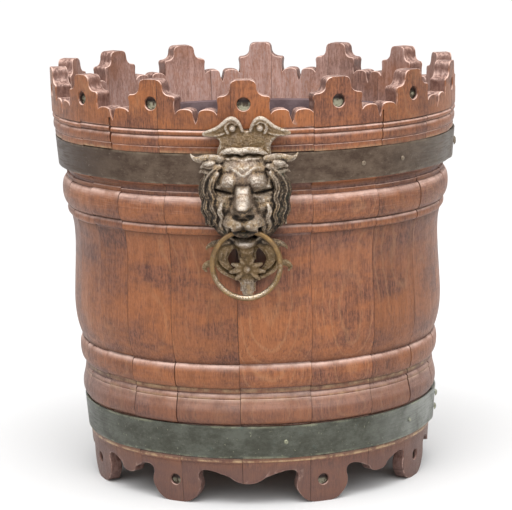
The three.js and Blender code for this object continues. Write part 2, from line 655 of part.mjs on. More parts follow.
function nut(z) {
  const inner = innerFace(z) - NUT_HEIGHT - GAP;
  const across = NUT_ACROSS / Math.cos(Math.PI / 6);
  const block = solid(radialBar(0, z, across, inner, innerFace(z) - GAP, 6));
  return block.subtract(solid(radialBar(0, z, STUD + 2 * STUD_ROOM, inner - 1, innerFace(z) + 1)));
}

// Hole for a stud, from inside the bucket into the mask
function studHole(z) {
  const outer = maskBackRadius(z) + STUD_INTO_MASK + STUD_ROOM;
  return radialBar(0, z, STUD + 2 * STUD_ROOM, innerRadius(0) - RIM_WALL, outer);
}

// The bottom as one disc with a chamfered edge that fits the croze
function bottomDisc() {
  const top = BOTTOM_HEIGHT + BOTTOM_THICKNESS;
  const middle = (BOTTOM_HEIGHT + top) / 2;
  const room = GAP + FACET_ROOM;
  const tongue = CROZE_WIDTH / 2 - GAP;
  const edge = innerRadius(middle - CROZE_WIDTH / 2) + CROZE_DEPTH - room;
  const face = innerRadius(BOTTOM_HEIGHT) - room - BOTTOM_CHAMFER;
  const line = [
    new Vector2(0, BOTTOM_HEIGHT),
    new Vector2(face, BOTTOM_HEIGHT),
    new Vector2(innerRadius(BOTTOM_HEIGHT) - room, middle - tongue),
    new Vector2(edge, middle - tongue),
    new Vector2(edge, middle + tongue),
    new Vector2(innerRadius(BOTTOM_HEIGHT) - room, middle + tongue),
    new Vector2(face, top),
    new Vector2(0, top),
  ];
  const disc = new THREE.LatheGeometry(line, BOTTOM_FACETS);
  disc.rotateX(Math.PI / 2);
  return disc;
}

// A box between two corners
function box(low, high) {
  const size = new Vector3().subVectors(high, low);
  const block = new THREE.BoxGeometry(size.x, size.y, size.z);
  block.translate((low.x + high.x) / 2, (low.y + high.y) / 2, (low.z + high.z) / 2);
  return block;
}

// A dowel or its hole, lying along X across a joint of the boards
function dowelBar(x, y, diameter, length) {
  const bar = new THREE.CylinderGeometry(diameter / 2, diameter / 2, length, 8);
  bar.rotateZ(Math.PI / 2);
  bar.translate(x, y, BOTTOM_HEIGHT + BOTTOM_THICKNESS / 2);
  return bar;
}

// Liner: a tapered tub of sheet metal with an outward rolled rim
function linerTub() {
  const floor = BOTTOM_HEIGHT + BOTTOM_THICKNESS + GAP;
  const wall = (z) => innerRadius(z) - LINER_SIDE_ROOM;
  const top = STUD_HEIGHTS.upper + LINER_OVER_STUDS;
  const neck = top - LINER_RIM_ROLL;
  const rimOut = innerRadius(neck) - LINER_RIM_ROOM;
  const innerCorner = LINER_CORNER + LINER_SHEET * (Math.SQRT2 - 1);
  const line = [
    new Vector2(0, floor),
    new Vector2(wall(floor) - LINER_CORNER, floor),
    new Vector2(wall(floor), floor + LINER_CORNER),
    new Vector2(wall(neck), neck),
    new Vector2(rimOut - LINER_ROLL_EDGE, neck),
    new Vector2(rimOut, neck + LINER_RIM_ROLL / 2),
    new Vector2(rimOut - LINER_ROLL_EDGE, top),
    new Vector2(wall(neck) - LINER_SHEET, top),
    new Vector2(wall(floor) - LINER_SHEET, floor + innerCorner),
    new Vector2(wall(floor) - innerCorner, floor + LINER_SHEET),
    new Vector2(0, floor + LINER_SHEET),
  ];
  const tub = new THREE.LatheGeometry(line, LINER_FACETS);
  tub.rotateX(Math.PI / 2);
  return tub;
}

const root = new THREE.Group();

// Adds a finished solid as a named piece of the bucket
function piece(name, body, material, turn = 0) {
  const mesh = body.getMesh();
  const geometry = new THREE.BufferGeometry();
  geometry.setAttribute("position", new THREE.Float32BufferAttribute(mesh.vertProperties, 3));
  geometry.setIndex([...mesh.triVerts]);
  geometry.computeVertexNormals();
  const made = new THREE.Mesh(geometry, material);
  made.name = name;
  made.rotation.z = degToRad(turn);
  root.add(made);
}

const SIDES = [
  { name: "front", turn: 0 },
  { name: "back", turn: 180 },
];

function turnedAbout(geometry, degrees) {
  return geometry.clone().rotateZ(degToRad(degrees));
}

// Everything that is cut out of the staves, with the range of angles that it covers
function staveCutters(fasteners) {
  const cutters = [];
  const add = (from, to, geometry) => cutters.push({ from, to, body: solid(geometry) });
  const addHole = (place, geometry) => add(place - HOLE_SPREAD, place + HOLE_SPREAD, geometry);
  const pitch = 360 / TEETH;
  for (let tooth = 0; tooth < TEETH; tooth++) {
    add(tooth * pitch, (tooth + 1) * pitch, notchCutter(tooth));
    const floor = RIM_RADIUS - TOOTH_HOLE_DEPTH;
    const hole = [HEIGHT - TOOTH_HOLE_DROP, TOOTH_HOLE, floor, RIM_RADIUS + CUT_PAST];
    addHole(tooth * pitch, radialBar(tooth * pitch, ...hole));
  }
  FEET_AT.forEach((foot, i) => {
    const next = FEET_AT[(i + 1) % FEET_AT.length];
    add(foot, next > foot ? next : next + 360, archCutter(foot, next > foot ? next : next + 360));
    const face = outerRadius(FOOT_HOLE_HEIGHT);
    const hole = [FOOT_HOLE_HEIGHT, FOOT_HOLE, face - FOOT_HOLE_DEPTH, face + CUT_PAST];
    addHole(foot, radialBar(foot, ...hole));
  });
  for (const { degrees, z, seat, shank, length } of fasteners) {
    const hole = radialBar(degrees, z, shank + 2 * GAP, seat - length - GAP, seat, PIN_SIDES);
    addHole(degrees, hole);
  }
  for (const side of SIDES) {
    for (const z of Object.values(STUD_HEIGHTS)) {
      addHole(side.turn, turnedAbout(studHole(z), side.turn));
    }
  }
  return cutters;
}

const fasteners = bandFasteners();
const cutters = staveCutters(fasteners);
const wallOutline = [...outsideLine(), ...insideLine()];
const girth = STAVE_WIDTHS.reduce((sum, width) => sum + width, 0);
let joint = FIRST_JOINT;
STAVE_WIDTHS.forEach((width, i) => {
  const span = (360 * width) / girth;
  const slit = radToDeg(GAP / 2 / innerRadius(0));
  const from = joint + slit;
  const to = joint + span - slit;
  const near = cutters.filter((tool) =>
    [-360, 0, 360].some((turn) => tool.from + turn < to && tool.to + turn > from),
  );
  const blank = solid(turned(wallOutline, from, to, STAVE_FACETS));
  const name = `stave_${String(i + 1).padStart(2, "0")}`;
  piece(name, cut(blank, ...near.map((tool) => tool.body)), OAK);
  joint += span;
});

const disc = solid(bottomDisc());
const reach = RIM_RADIUS;
const inside = RIM_RADIUS - BOTTOM_SIDE_BOARD - (RIM_RADIUS - innerRadius(BOTTOM_HEIGHT));
const dowelPlaces = [-inside, inside].flatMap((x) =>
  [-DOWEL_SPREAD / 2, DOWEL_SPREAD / 2].map((y) => [x, y]),
);
const dowelHoles = dowelPlaces.map(([x, y]) =>
  solid(dowelBar(x, y, DOWEL + 2 * GAP, DOWEL_LENGTH + 2 * GAP)),
);
const boardEdges = [-reach, -inside, inside, reach];
for (let i = 0; i < 3; i++) {
  const low = new Vector3(boardEdges[i] + GAP / 2, -reach, 0);
  const high = new Vector3(boardEdges[i + 1] - GAP / 2, reach, HEIGHT);
  const board = disc.intersect(solid(box(low, high)));
  piece(`bottom_board_${i + 1}`, cut(board, ...dowelHoles), BOARD_OAK);
}
dowelPlaces.forEach(([x, y], i) => {
  piece(`bottom_dowel_${i + 1}`, solid(dowelBar(x, y, DOWEL, DOWEL_LENGTH)), BOARD_OAK);
});

for (const band of [upperBand, lowerBand]) {
  const holes = fasteners
    .filter((item) => item.band === band)
    .map(({ degrees, z, seat, shank, length }) =>
      solid(radialBar(degrees, z, shank + 2 * GAP, seat - length - GAP, seat + GAP, PIN_SIDES)),
    );
  for (const z of Object.values(STUD_HEIGHTS).filter((z) => z > band.bottom && z < band.top)) {
    holes.push(...SIDES.map((side) => solid(turnedAbout(studHole(z), side.turn))));
  }
  piece(band.name, cut(solid(hoop(band)), ...holes), BAND_BRASS);
}
for (const { name, degrees, z, seat, head, height, shank, length } of fasteners) {
  piece(name, solid(fastener(degrees, z, seat, head, height, shank, length)), BAND_BRASS);
}

const mask = cut(lionMask(), ...Object.values(STUD_HEIGHTS).map((z) => solid(studHole(z))));
const ring = solid(ringHandle());
for (const side of SIDES) {
  piece(`${side.name}_lion_mask`, mask, CAST_BRASS, side.turn);
  piece(`${side.name}_ring`, ring, CAST_BRASS, side.turn);
  for (const [level, z] of Object.entries(STUD_HEIGHTS)) {
    piece(`${side.name}_${level}_stud`, solid(stud(z)), STEEL, side.turn);
    piece(`${side.name}_${level}_nut`, nut(z), STEEL, side.turn);
  }
}

piece("liner", solid(linerTub()), LINER_METAL);

export default root;
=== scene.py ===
"""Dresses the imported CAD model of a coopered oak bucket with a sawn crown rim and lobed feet, two
brass bands, a pair of cast lion masks with ring handles, and a lift-out metal liner.

Object lengths are in metres, +Z up, and the front mask faces -Y. The sizes in the classes are in
millimetres, as in the part's source. Angles are degrees round the bucket from the front, growing
towards +X.
"""
import logging
import math
import random
from dataclasses import dataclass
from enum import Enum
from functools import reduce
from typing import Callable, Mapping, Sequence

import bmesh
import bpy
import numpy as np
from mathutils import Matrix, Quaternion, Vector


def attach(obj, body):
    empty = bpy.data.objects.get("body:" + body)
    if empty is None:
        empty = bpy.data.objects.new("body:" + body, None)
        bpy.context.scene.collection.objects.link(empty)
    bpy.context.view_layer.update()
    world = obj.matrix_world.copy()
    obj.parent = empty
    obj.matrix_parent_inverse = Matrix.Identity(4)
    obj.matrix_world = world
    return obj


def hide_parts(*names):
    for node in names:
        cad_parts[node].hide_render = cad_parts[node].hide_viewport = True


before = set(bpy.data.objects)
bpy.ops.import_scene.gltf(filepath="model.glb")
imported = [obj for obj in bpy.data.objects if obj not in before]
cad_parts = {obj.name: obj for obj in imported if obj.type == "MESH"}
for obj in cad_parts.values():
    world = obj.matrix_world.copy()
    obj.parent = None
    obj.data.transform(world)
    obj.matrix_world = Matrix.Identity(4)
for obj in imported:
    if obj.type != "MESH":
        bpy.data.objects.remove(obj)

MM = 0.001
TAG = "outline_point"
LOG = logging.getLogger("oak_bucket")
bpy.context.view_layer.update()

Pair = tuple[float, float]
Triple = tuple[float, float, float]
Colour = tuple[float, float, float, float]
Piece = bpy.types.Object
Material = bpy.types.Material
Socket = bpy.types.NodeSocket
Value = Socket | float | tuple[float, ...]


class Body(Enum):
    """The bodies of the frame that pieces ride on."""

    BUCKET = "bucket"
    FRONT_HANDLE = "front_handle"
    BACK_HANDLE = "back_handle"
    LINER = "liner_tub"


# ---- Modelling


def at(degrees: float, radius: float, height: float) -> Vector:
    """Gives a point of the bucket in metres.

    Args:
        degrees: Angle from the front.
        radius: Distance from the axis, in millimetres.
        height: Height over the floor, in millimetres.

    Returns:
        The point.
    """
    angle = math.radians(degrees)
    return Vector((radius * math.sin(angle), -radius * math.cos(angle), height)) * MM


def curve(start: Pair, control: Pair, end: Pair, steps: int) -> list[Pair]:
    """Samples a quadratic curve.

    Args:
        start: First point, which is left out of the result.
        control: Control point.
        end: Last point.
        steps: Number of points.

    Returns:
        The points after the start.
    """
    points = []
    for i in range(1, steps + 1):
        t = i / steps
        a, b, c = (1 - t) ** 2, 2 * t * (1 - t), t * t
        points.append(tuple(a * p + b * q + c * r for p, q, r in zip(start, control, end)))
    return points


def smooth_path(points: Sequence[Sequence[float]], steps: int) -> list[tuple[float, ...]]:
    """Runs a smooth line through points.

    Args:
        points: The points, each with the same number of values.
        steps: Number of steps between two points.

    Returns:
        The points of the smooth line.
    """
    rows = [np.array(p, dtype=float) for p in points]
    line = []
    for i in range(len(rows) - 1):
        p1, p2 = rows[i], rows[i + 1]
        p0 = rows[i - 1] if i else 2 * p1 - p2
        p3 = rows[i + 2] if i + 2 < len(rows) else 2 * p2 - p1
        for k in range(steps):
            t = k / steps
            point = 0.5 * (
                2 * p1
                + (p2 - p0) * t
                + (2 * p0 - 5 * p1 + 4 * p2 - p3) * t**2
                + (3 * p1 - p0 - 3 * p2 + p3) * t**3
            )
            line.append(tuple(point))
    line.append(tuple(rows[-1]))
    return line


def make_active(piece: Piece) -> None:
    """Selects one object alone and makes it the active one.

    Args:
        piece: The object.
    """
    bpy.ops.object.select_all(action="DESELECT")
    piece.select_set(True)
    bpy.context.view_layer.objects.active = piece


def start_outline(name: str, points: Sequence[Vector], filled: bool = True) -> Piece:
    """Adds a circle and sets its points on an outline.

    Args:
        name: Name of the new object.
        points: The outline, in metres.
        filled: Whether the outline gets a face.

    Returns:
        The object, alone selected and active.
    """
    bpy.ops.object.select_all(action="DESELECT")
    fill = "NGON" if filled else "NOTHING"
    bpy.ops.mesh.primitive_circle_add(vertices=len(points), radius=MM, fill_type=fill)
    piece = bpy.context.object
    piece.name = name
    piece.data.name = name
    tags = piece.data.attributes.new(TAG, "INT", "POINT")
    for i, point in enumerate(points):
        piece.data.vertices[i].co = point
        tags.data[i].value = i
    return piece


def extrude_onto(piece: Piece, points: Sequence[Vector]) -> None:
    """Extrudes the selected faces and sets the new points on a section.

    Args:
        piece: The object in edit mode.
        points: The section, in the order of the first outline.
    """
    bpy.ops.mesh.extrude_region()
    mesh = bmesh.from_edit_mesh(piece.data)
    layer = mesh.verts.layers.int[TAG]
    for vertex in mesh.verts:
        if vertex.select:
            vertex.co = points[vertex[layer]]


def leave_edit(piece: Piece, merge: float = 0.0, triangles: bool = False) -> None:
    """Merges doubles, turns all faces outwards and leaves edit mode.

    Args:
        piece: The object in edit mode.
        merge: Merge distance in metres, or 0 for none.
        triangles: Whether all faces are split into triangles.
    """
    bpy.ops.mesh.select_all(action="SELECT")
    if merge:
        bpy.ops.mesh.remove_doubles(threshold=merge)
    if triangles:
        bpy.ops.mesh.quads_convert_to_tris(quad_method="BEAUTY", ngon_method="BEAUTY")
    bpy.ops.mesh.normals_make_consistent(inside=False)
    bpy.ops.object.mode_set(mode="OBJECT")
    tags = piece.data.attributes.get(TAG)
    if tags:
        piece.data.attributes.remove(tags)


def loft(name: str, sections: Sequence[Sequence[Vector]], triangles: bool = False) -> Piece:
    """Extrudes an outline through a row of sections into a closed solid.

    Args:
        name: Name of the new object.
        sections: Rows of points in metres, all in the same order.
        triangles: Whether all faces are split into triangles.

    Returns:
        The solid.
    """
    piece = start_outline(name, sections[0])
    bpy.ops.object.mode_set(mode="EDIT")
    bpy.ops.mesh.select_all(action="SELECT")
    for section in sections[1:]:
        extrude_onto(piece, section)
    leave_edit(piece, triangles=triangles)
    return piece


def revolve(name: str, outline: Sequence[Pair], steps: int) -> Piece:
    """Spins a closed outline once round the axis.

    Args:
        name: Name of the new object.
        outline: Radius and height in millimetres.
        steps: Number of steps of the turn.

    Returns:
        The closed surface of revolution.
    """
    piece = start_outline(name, [at(0, r, z) for r, z in outline], filled=False)
    bpy.ops.object.mode_set(mode="EDIT")
    bpy.ops.mesh.select_all(action="SELECT")
    bpy.ops.mesh.spin(steps=steps, angle=2 * math.pi, center=(0, 0, 0), axis=(0, 0, 1))
    leave_edit(piece, merge=0.05 * MM)
    return piece


def apply_modifier(piece: Piece, kind: str, **settings: object) -> None:
    """Adds a modifier to a piece and applies it.

    Args:
        piece: The object.
        kind: Type of the modifier.
        settings: Values of its properties.
    """
    make_active(piece)
    modifier = piece.modifiers.new(kind.lower(), kind)
    for key, value in settings.items():
        setattr(modifier, key, value)
    bpy.ops.object.modifier_apply(modifier=modifier.name)


def cut(piece: Piece, cutters: Sequence[Piece]) -> None:
    """Takes each cutter away from a piece."""
    for cutter in cutters:
        apply_modifier(piece, "BOOLEAN", operation="DIFFERENCE", solver="EXACT", object=cutter)


def discard(pieces: Sequence[Piece]) -> None:
    """Deletes helper objects and their meshes.

    Args:
        pieces: The objects.
    """
    for piece in pieces:
        mesh = piece.data
        bpy.data.objects.remove(piece)
        bpy.data.meshes.remove(mesh)


def join(name: str, pieces: Sequence[Piece]) -> Piece:
    """Joins pieces into the first one.

    Args:
        name: Name of the result.
        pieces: The pieces.

    Returns:
        The joined object.
    """
    make_active(pieces[0])
    for piece in pieces[1:]:
        piece.select_set(True)
    bpy.ops.object.join()
    pieces[0].name = name
    pieces[0].data.name = name
    return pieces[0]


def shade(piece: Piece, degrees: float) -> None:
    """Shades a piece smooth, apart from its edges sharper than an angle."""
    make_active(piece)
    bpy.ops.object.shade_smooth_by_angle(angle=math.radians(degrees))


def turned_copy(piece: Piece, name: str, degrees: float) -> Piece:
    """Copies a piece with its own mesh and turns it about the axis.

    Args:
        piece: The object to copy.
        name: Name of the copy.
        degrees: Angle of the turn.

    Returns:
        The copy.
    """
    make_active(piece)
    bpy.ops.object.duplicate(linked=False)
    copy = bpy.context.object
    copy.name = name
    copy.data.name = name
    copy.rotation_euler = (0.0, 0.0, math.radians(degrees))
    bpy.ops.object.transform_apply(location=False, rotation=True, scale=False)
    return copy


def points_of(piece: Piece) -> np.ndarray:
    """Reads the vertices of a piece.

    Args:
        piece: The object.

    Returns:
        One row of three coordinates in metres for each vertex.
    """
    flat = np.empty(len(piece.data.vertices) * 3, dtype=np.float32)
    piece.data.vertices.foreach_get("co", flat)
    return flat.reshape(-1, 3).astype(float)


def ramp(values: np.ndarray, start: float, length: float) -> np.ndarray:
    """Rises from 0 to 1 over a length from a start, downwards where the length is negative."""
    return np.clip((values - start) / length, 0, 1)


def store(piece: Piece, name: str, values: np.ndarray) -> None:
    """Stores one value or one vector for each vertex.

    Args:
        piece: The object.
        name: Name of the attribute.
        values: One row for each vertex.
    """
    if values.ndim == 1:
        layer = piece.data.attributes.new(name, "FLOAT", "POINT")
        layer.data.foreach_set("value", values.astype(np.float32))
    else:
        layer = piece.data.attributes.new(name, "FLOAT_VECTOR", "POINT")
        layer.data.foreach_set("vector", values.astype(np.float32).ravel())


def place(piece: Piece, body: Body, slot: str, material: Material, *nodes: str) -> None:
    """Gives a finished piece its material and body, and hides the nodes that it stands for.

    Args:
        piece: The finished object.
        body: The body that it rides on.
        slot: The record's material slot; not used.
        material: Its material.
        nodes: The CAD nodes that it replaces.
    """
    piece.data.materials.clear()
    piece.data.materials.append(material)
    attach(piece, body.value)
    if nodes:
        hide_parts(*nodes)
    LOG.info("%s: %d faces", piece.name, len(piece.data.polygons))


# ---- Shader nodes


def paint(red: int, green: int, blue: int) -> Colour:
    """Turns screen values of 0 to 255 into a linear colour."""
    parts = [c / 255 for c in (red, green, blue)]
    return (*(p / 12.92 if p <= 0.04045 else ((p + 0.055) / 1.055) ** 2.4 for p in parts), 1.0)


class Tree:
    """A node tree with short calls for the nodes that the finishes use."""

    def __init__(self, tree: bpy.types.NodeTree) -> None:
        """Takes over an empty node tree."""
        self.tree = tree

    def put(self, kind: str, inputs: dict[str | int, Value] | None = None, **settings: object) -> bpy.types.Node:
        """Adds a node.

        Args:
            kind: Type of the node without its prefix.
            inputs: A value or a socket for each named or numbered input.
            settings: Values of its properties.

        Returns:
            The node.
        """
        node = self.tree.nodes.new("ShaderNode" + kind)
        for key, value in settings.items():
            setattr(node, key, value)
        for key, value in (inputs or {}).items():
            self.feed(node.inputs[key], value)
        return node

    def feed(self, socket: Socket, value: Value) -> None:
        """Links a socket to an input, or sets the input's own value.

        Args:
            socket: The input.
            value: What it gets.
        """
        if isinstance(value, Socket):
            self.tree.links.new(value, socket)
        else:
            socket.default_value = value

    def math(self, operation: str, a: Value, b: Value = 0.0, clamp: bool = False) -> Socket:
        """Adds a Math node and returns its result."""
        return self.put("Math", {0: a, 1: b}, operation=operation, use_clamp=clamp).outputs[0]

    def times(self, *factors: Value) -> Socket:
        """Multiplies values."""
        return reduce(lambda a, b: self.math("MULTIPLY", a, b), factors)

    def plus(self, *terms: Value) -> Socket:
        """Adds values up."""
        return reduce(lambda a, b: self.math("ADD", a, b), terms)

    def less(self, value: Value, taken: Value) -> Socket:
        """Takes one value away from another."""
        return self.math("SUBTRACT", value, taken)

    def stretch(self, vector: Value, by: Triple) -> Socket:
        """Multiplies a vector part by part."""
        return self.put("VectorMath", {0: vector, 1: by}, operation="MULTIPLY").outputs[0]

    def noise(self, vector: Value, scale: float, detail: float = 3.0, rough: float = 0.55) -> Socket:
        """Adds a noise texture and returns its value, which lies around 0.5."""
        inputs = {"Vector": vector, "Scale": scale, "Detail": detail, "Roughness": rough}
        return self.put("TexNoise", inputs).outputs[0]

    def band(self, value: Value, low: float, high: float, to_low: float = 0.0, to_high: float = 1.0) -> Socket:
        """Maps a range smoothly onto another one and clamps it."""
        inputs = {0: value, 1: low, 2: high, 3: to_low, 4: to_high}
        return self.put("MapRange", inputs, interpolation_type="SMOOTHSTEP", clamp=True).outputs[0]

    def blend(self, share: Value, a: Value, b: Value, mode: str = "MIX") -> Socket:
        """Mixes two colours, as much of the second one as the share says."""
        return self.put("Mix", {0: share, 6: a, 7: b}, data_type="RGBA", blend_type=mode).outputs[2]

    def shaded(self, colour: Value, factor: Socket) -> Socket:
        """Darkens or brightens a colour by a factor."""
        grey = self.put("CombineColor", {0: factor, 1: factor, 2: factor}).outputs[0]
        return self.blend(1.0, colour, grey, "MULTIPLY")

    def spot(self) -> Socket:
        """Gives the place on the piece, in metres."""
        return self.put("TexCoord").outputs["Object"]

    def stored(self, name: str, output: str = "Vector") -> Socket:
        """Reads one of the piece's own attributes."""
        return self.put("Attribute", attribute_name=name).outputs[output]

    def parts(self, vector: Value) -> tuple[Socket, Socket, Socket]:
        """Splits a vector into its three values."""
        node = self.put("SeparateXYZ", {0: vector})
        return node.outputs[0], node.outputs[1], node.outputs[2]


class GroupTree(Tree):
    """A shader node group with named inputs and outputs."""

    def __init__(self, name: str, inputs: dict[str, str], outputs: Sequence[str]) -> None:
        """Makes the group.

        Args:
            name: Name of the group.
            inputs: Socket type, Float or Vector, of each input.
            outputs: Names of the outputs, all of them values.
        """
        group = bpy.data.node_groups.new(name, "ShaderNodeTree")
        super().__init__(group)
        for label, kind in inputs.items():
            group.interface.new_socket(label, in_out="INPUT", socket_type=f"NodeSocket{kind}")
        for label in outputs:
            group.interface.new_socket(label, in_out="OUTPUT", socket_type="NodeSocketFloat")
        self.given = group.nodes.new("NodeGroupInput").outputs
        self.result = group.nodes.new("NodeGroupOutput").inputs

    def give(self, label: str, value: Socket) -> None:
        """Feeds one of the group's outputs."""
        self.feed(self.result[label], value)

    def into(self, tree: Tree, inputs: dict[str, Value]) -> Mapping[str, Socket]:
        """Places the group in a material.

        Args:
            tree: The material's nodes.
            inputs: A value or a socket for each input.

        Returns:
            The outputs of the group node, by name.
        """
        node = tree.tree.nodes.new("ShaderNodeGroup")
        node.node_tree = self.tree
        for label, value in inputs.items():
            tree.feed(node.inputs[label], value)
        return node.outputs


class Surface(Tree):
    """The nodes of a new material, whose colour is laid on in layers."""

    def __init__(self, name: str, ground: Colour) -> None:
        """Makes the material.

        Args:
            name: Name of the material.
            ground: The colour under all the layers.
        """
        self.material = bpy.data.materials.new(name)
        self.material.use_nodes = True
        super().__init__(self.material.node_tree)
        self.shader = self.material.node_tree.nodes["Principled BSDF"].inputs
        self.colour: Value = ground

    def lay(self, colour: Value, *shares: Value) -> None:
        """Lays a colour on, as much as the product of the shares says."""
        self.colour = self.blend(self.times(*shares), self.colour, colour)

    def keep(self, **values: float) -> None:
        """Sets inputs of the shader that are the same all over the surface."""
        for name, value in values.items():
            self.shader[name.replace("_", " ")].default_value = value

    def finish(self, rough: Value, height: Socket, strength: float, distance: float) -> Material:
        """Feeds the shader with the laid colour, the roughness and the fine bumps.

        Args:
            rough: Roughness.
            height: Height of the bumps.
            strength: Strength of the bumps.
            distance: Height in metres that a value of 1 stands for.

        Returns:
            The material.
        """
        bump = self.put("Bump", {"Strength": strength, "Distance": distance, "Height": height})
        for name, value in (("Base Color", self.colour), ("Roughness", rough), ("Normal", bump.outputs[0])):
            self.feed(self.shader[name], value)
        return self.material


def timber_figure() -> GroupTree:
    """Makes the group that draws oak: streaks, pores, growth rings and broad blotches.

    Returns:
        The group. Grain is a place on the wood with its third value along the fibres. Log is a
        place seen from the heart of the tree.
    """
    inputs = {"Grain": "Vector", "Log": "Vector", "Ring Width": "Float"}
    group = GroupTree("timber figure", inputs, ["Streaks", "Pores", "Rings", "Blotches", "Relief"])
    grain = group.given["Grain"]
    fine = group.noise(group.stretch(grain, (1, 1, 0.035)), 620, 4, 0.65)
    coarse = group.noise(group.stretch(grain, (1, 1, 0.05)), 150, 3, 0.5)
    short = group.noise(group.stretch(grain, (1, 1, 0.13)), 1050, 3, 0.6)
    mottle = group.noise(group.stretch(grain, (1, 1, 0.6)), 480, 4, 0.7)
    weights = ((fine, 0.24), (short, 0.3), (mottle, 0.3), (coarse, 0.16))
    streaks = group.plus(*(group.times(noise, weight) for noise, weight in weights))
    group.give("Streaks", group.band(streaks, 0.41, 0.59))
    dashes = group.noise(group.stretch(grain, (1, 1, 0.09)), 1300, 2, 0.5)
    pores = group.band(dashes, 0.58, 0.68)
    group.give("Pores", pores)
    across, depth, along = group.parts(group.given["Log"])
    flat = group.math("POWER", group.plus(group.times(across, across), group.times(depth, depth)), 0.5)
    sway = group.times(group.less(group.noise(grain, 14, 3), 0.5), 0.016)
    turn = group.math("DIVIDE", group.plus(flat, along, sway), group.given["Ring Width"])
    group.give("Rings", group.band(group.math("PINGPONG", turn, 0.5), 0.33, 0.5))
    blotches = group.noise(group.stretch(grain, (0.5, 1, 1.2)), 24, 7, 0.7)
    group.give("Blotches", group.band(blotches, 0.38, 0.62))
    group.give("Relief", group.less(fine, group.times(pores, 0.5)))
    return group


def dust_and_top_highlight() -> GroupTree:
    """Makes the group that finds the faces that look upwards, where dusty, bleached wax settles and where the light
    from above is painted as a highlight.

    Returns:
        The group. Start is the upward part of the normal from which on the dusty film and the painted highlight begin.
    """
    group = GroupTree("dusty ledges and top highlight", {"Place": "Vector", "Start": "Float"}, ["Dusting and Highlight"])
    up = group.parts(group.put("NewGeometry").outputs["Normal"])[2]
    rise = group.less(up, group.given["Start"])
    patchy = group.band(group.noise(group.given["Place"], 45, 5, 0.7), 0.25, 0.66, 0.2, 1)
    group.give("Dusting and Highlight", group.times(group.band(rise, 0, 0.6), patchy))
    return group


def patina() -> GroupTree:
    """Makes the group that spreads tarnish and verdigris over sheet and cast metal.

    Returns:
        The group. Place is a place on the metal, and Spread is how far the verdigris has gone.
    """
    group = GroupTree("patina", {"Place": "Vector", "Spread": "Float"}, ["Clouds", "Stains", "Specks", "Scratches"])
    spot = group.given["Place"]
    clouds = group.noise(group.stretch(spot, (0.6, 1, 1)), 64, 8, 0.8)
    group.give("Clouds", group.band(clouds, 0.36, 0.64))
    stains = group.noise(group.stretch(spot, (1, 1, 1.6)), 75, 6, 0.7)
    edge = group.less(stains, group.less(0.68, group.given["Spread"]))
    group.give("Stains", group.band(edge, 0, 0.14))
    group.give("Specks", group.band(group.noise(spot, 420, 2, 0.5), 0.66, 0.74))
    scratches = group.noise(group.stretch(spot, (0.05, 1, 1)), 900, 3, 0.6)
    group.give("Scratches", group.band(scratches, 0.4, 0.7))
    return group


class Effects:
    """The node groups that the finishes share, each made once."""

    def __init__(self) -> None:
        """Makes the groups."""
        self.timber = timber_figure()
        self.dust_and_highlight = dust_and_top_highlight()
        self.patina = patina()


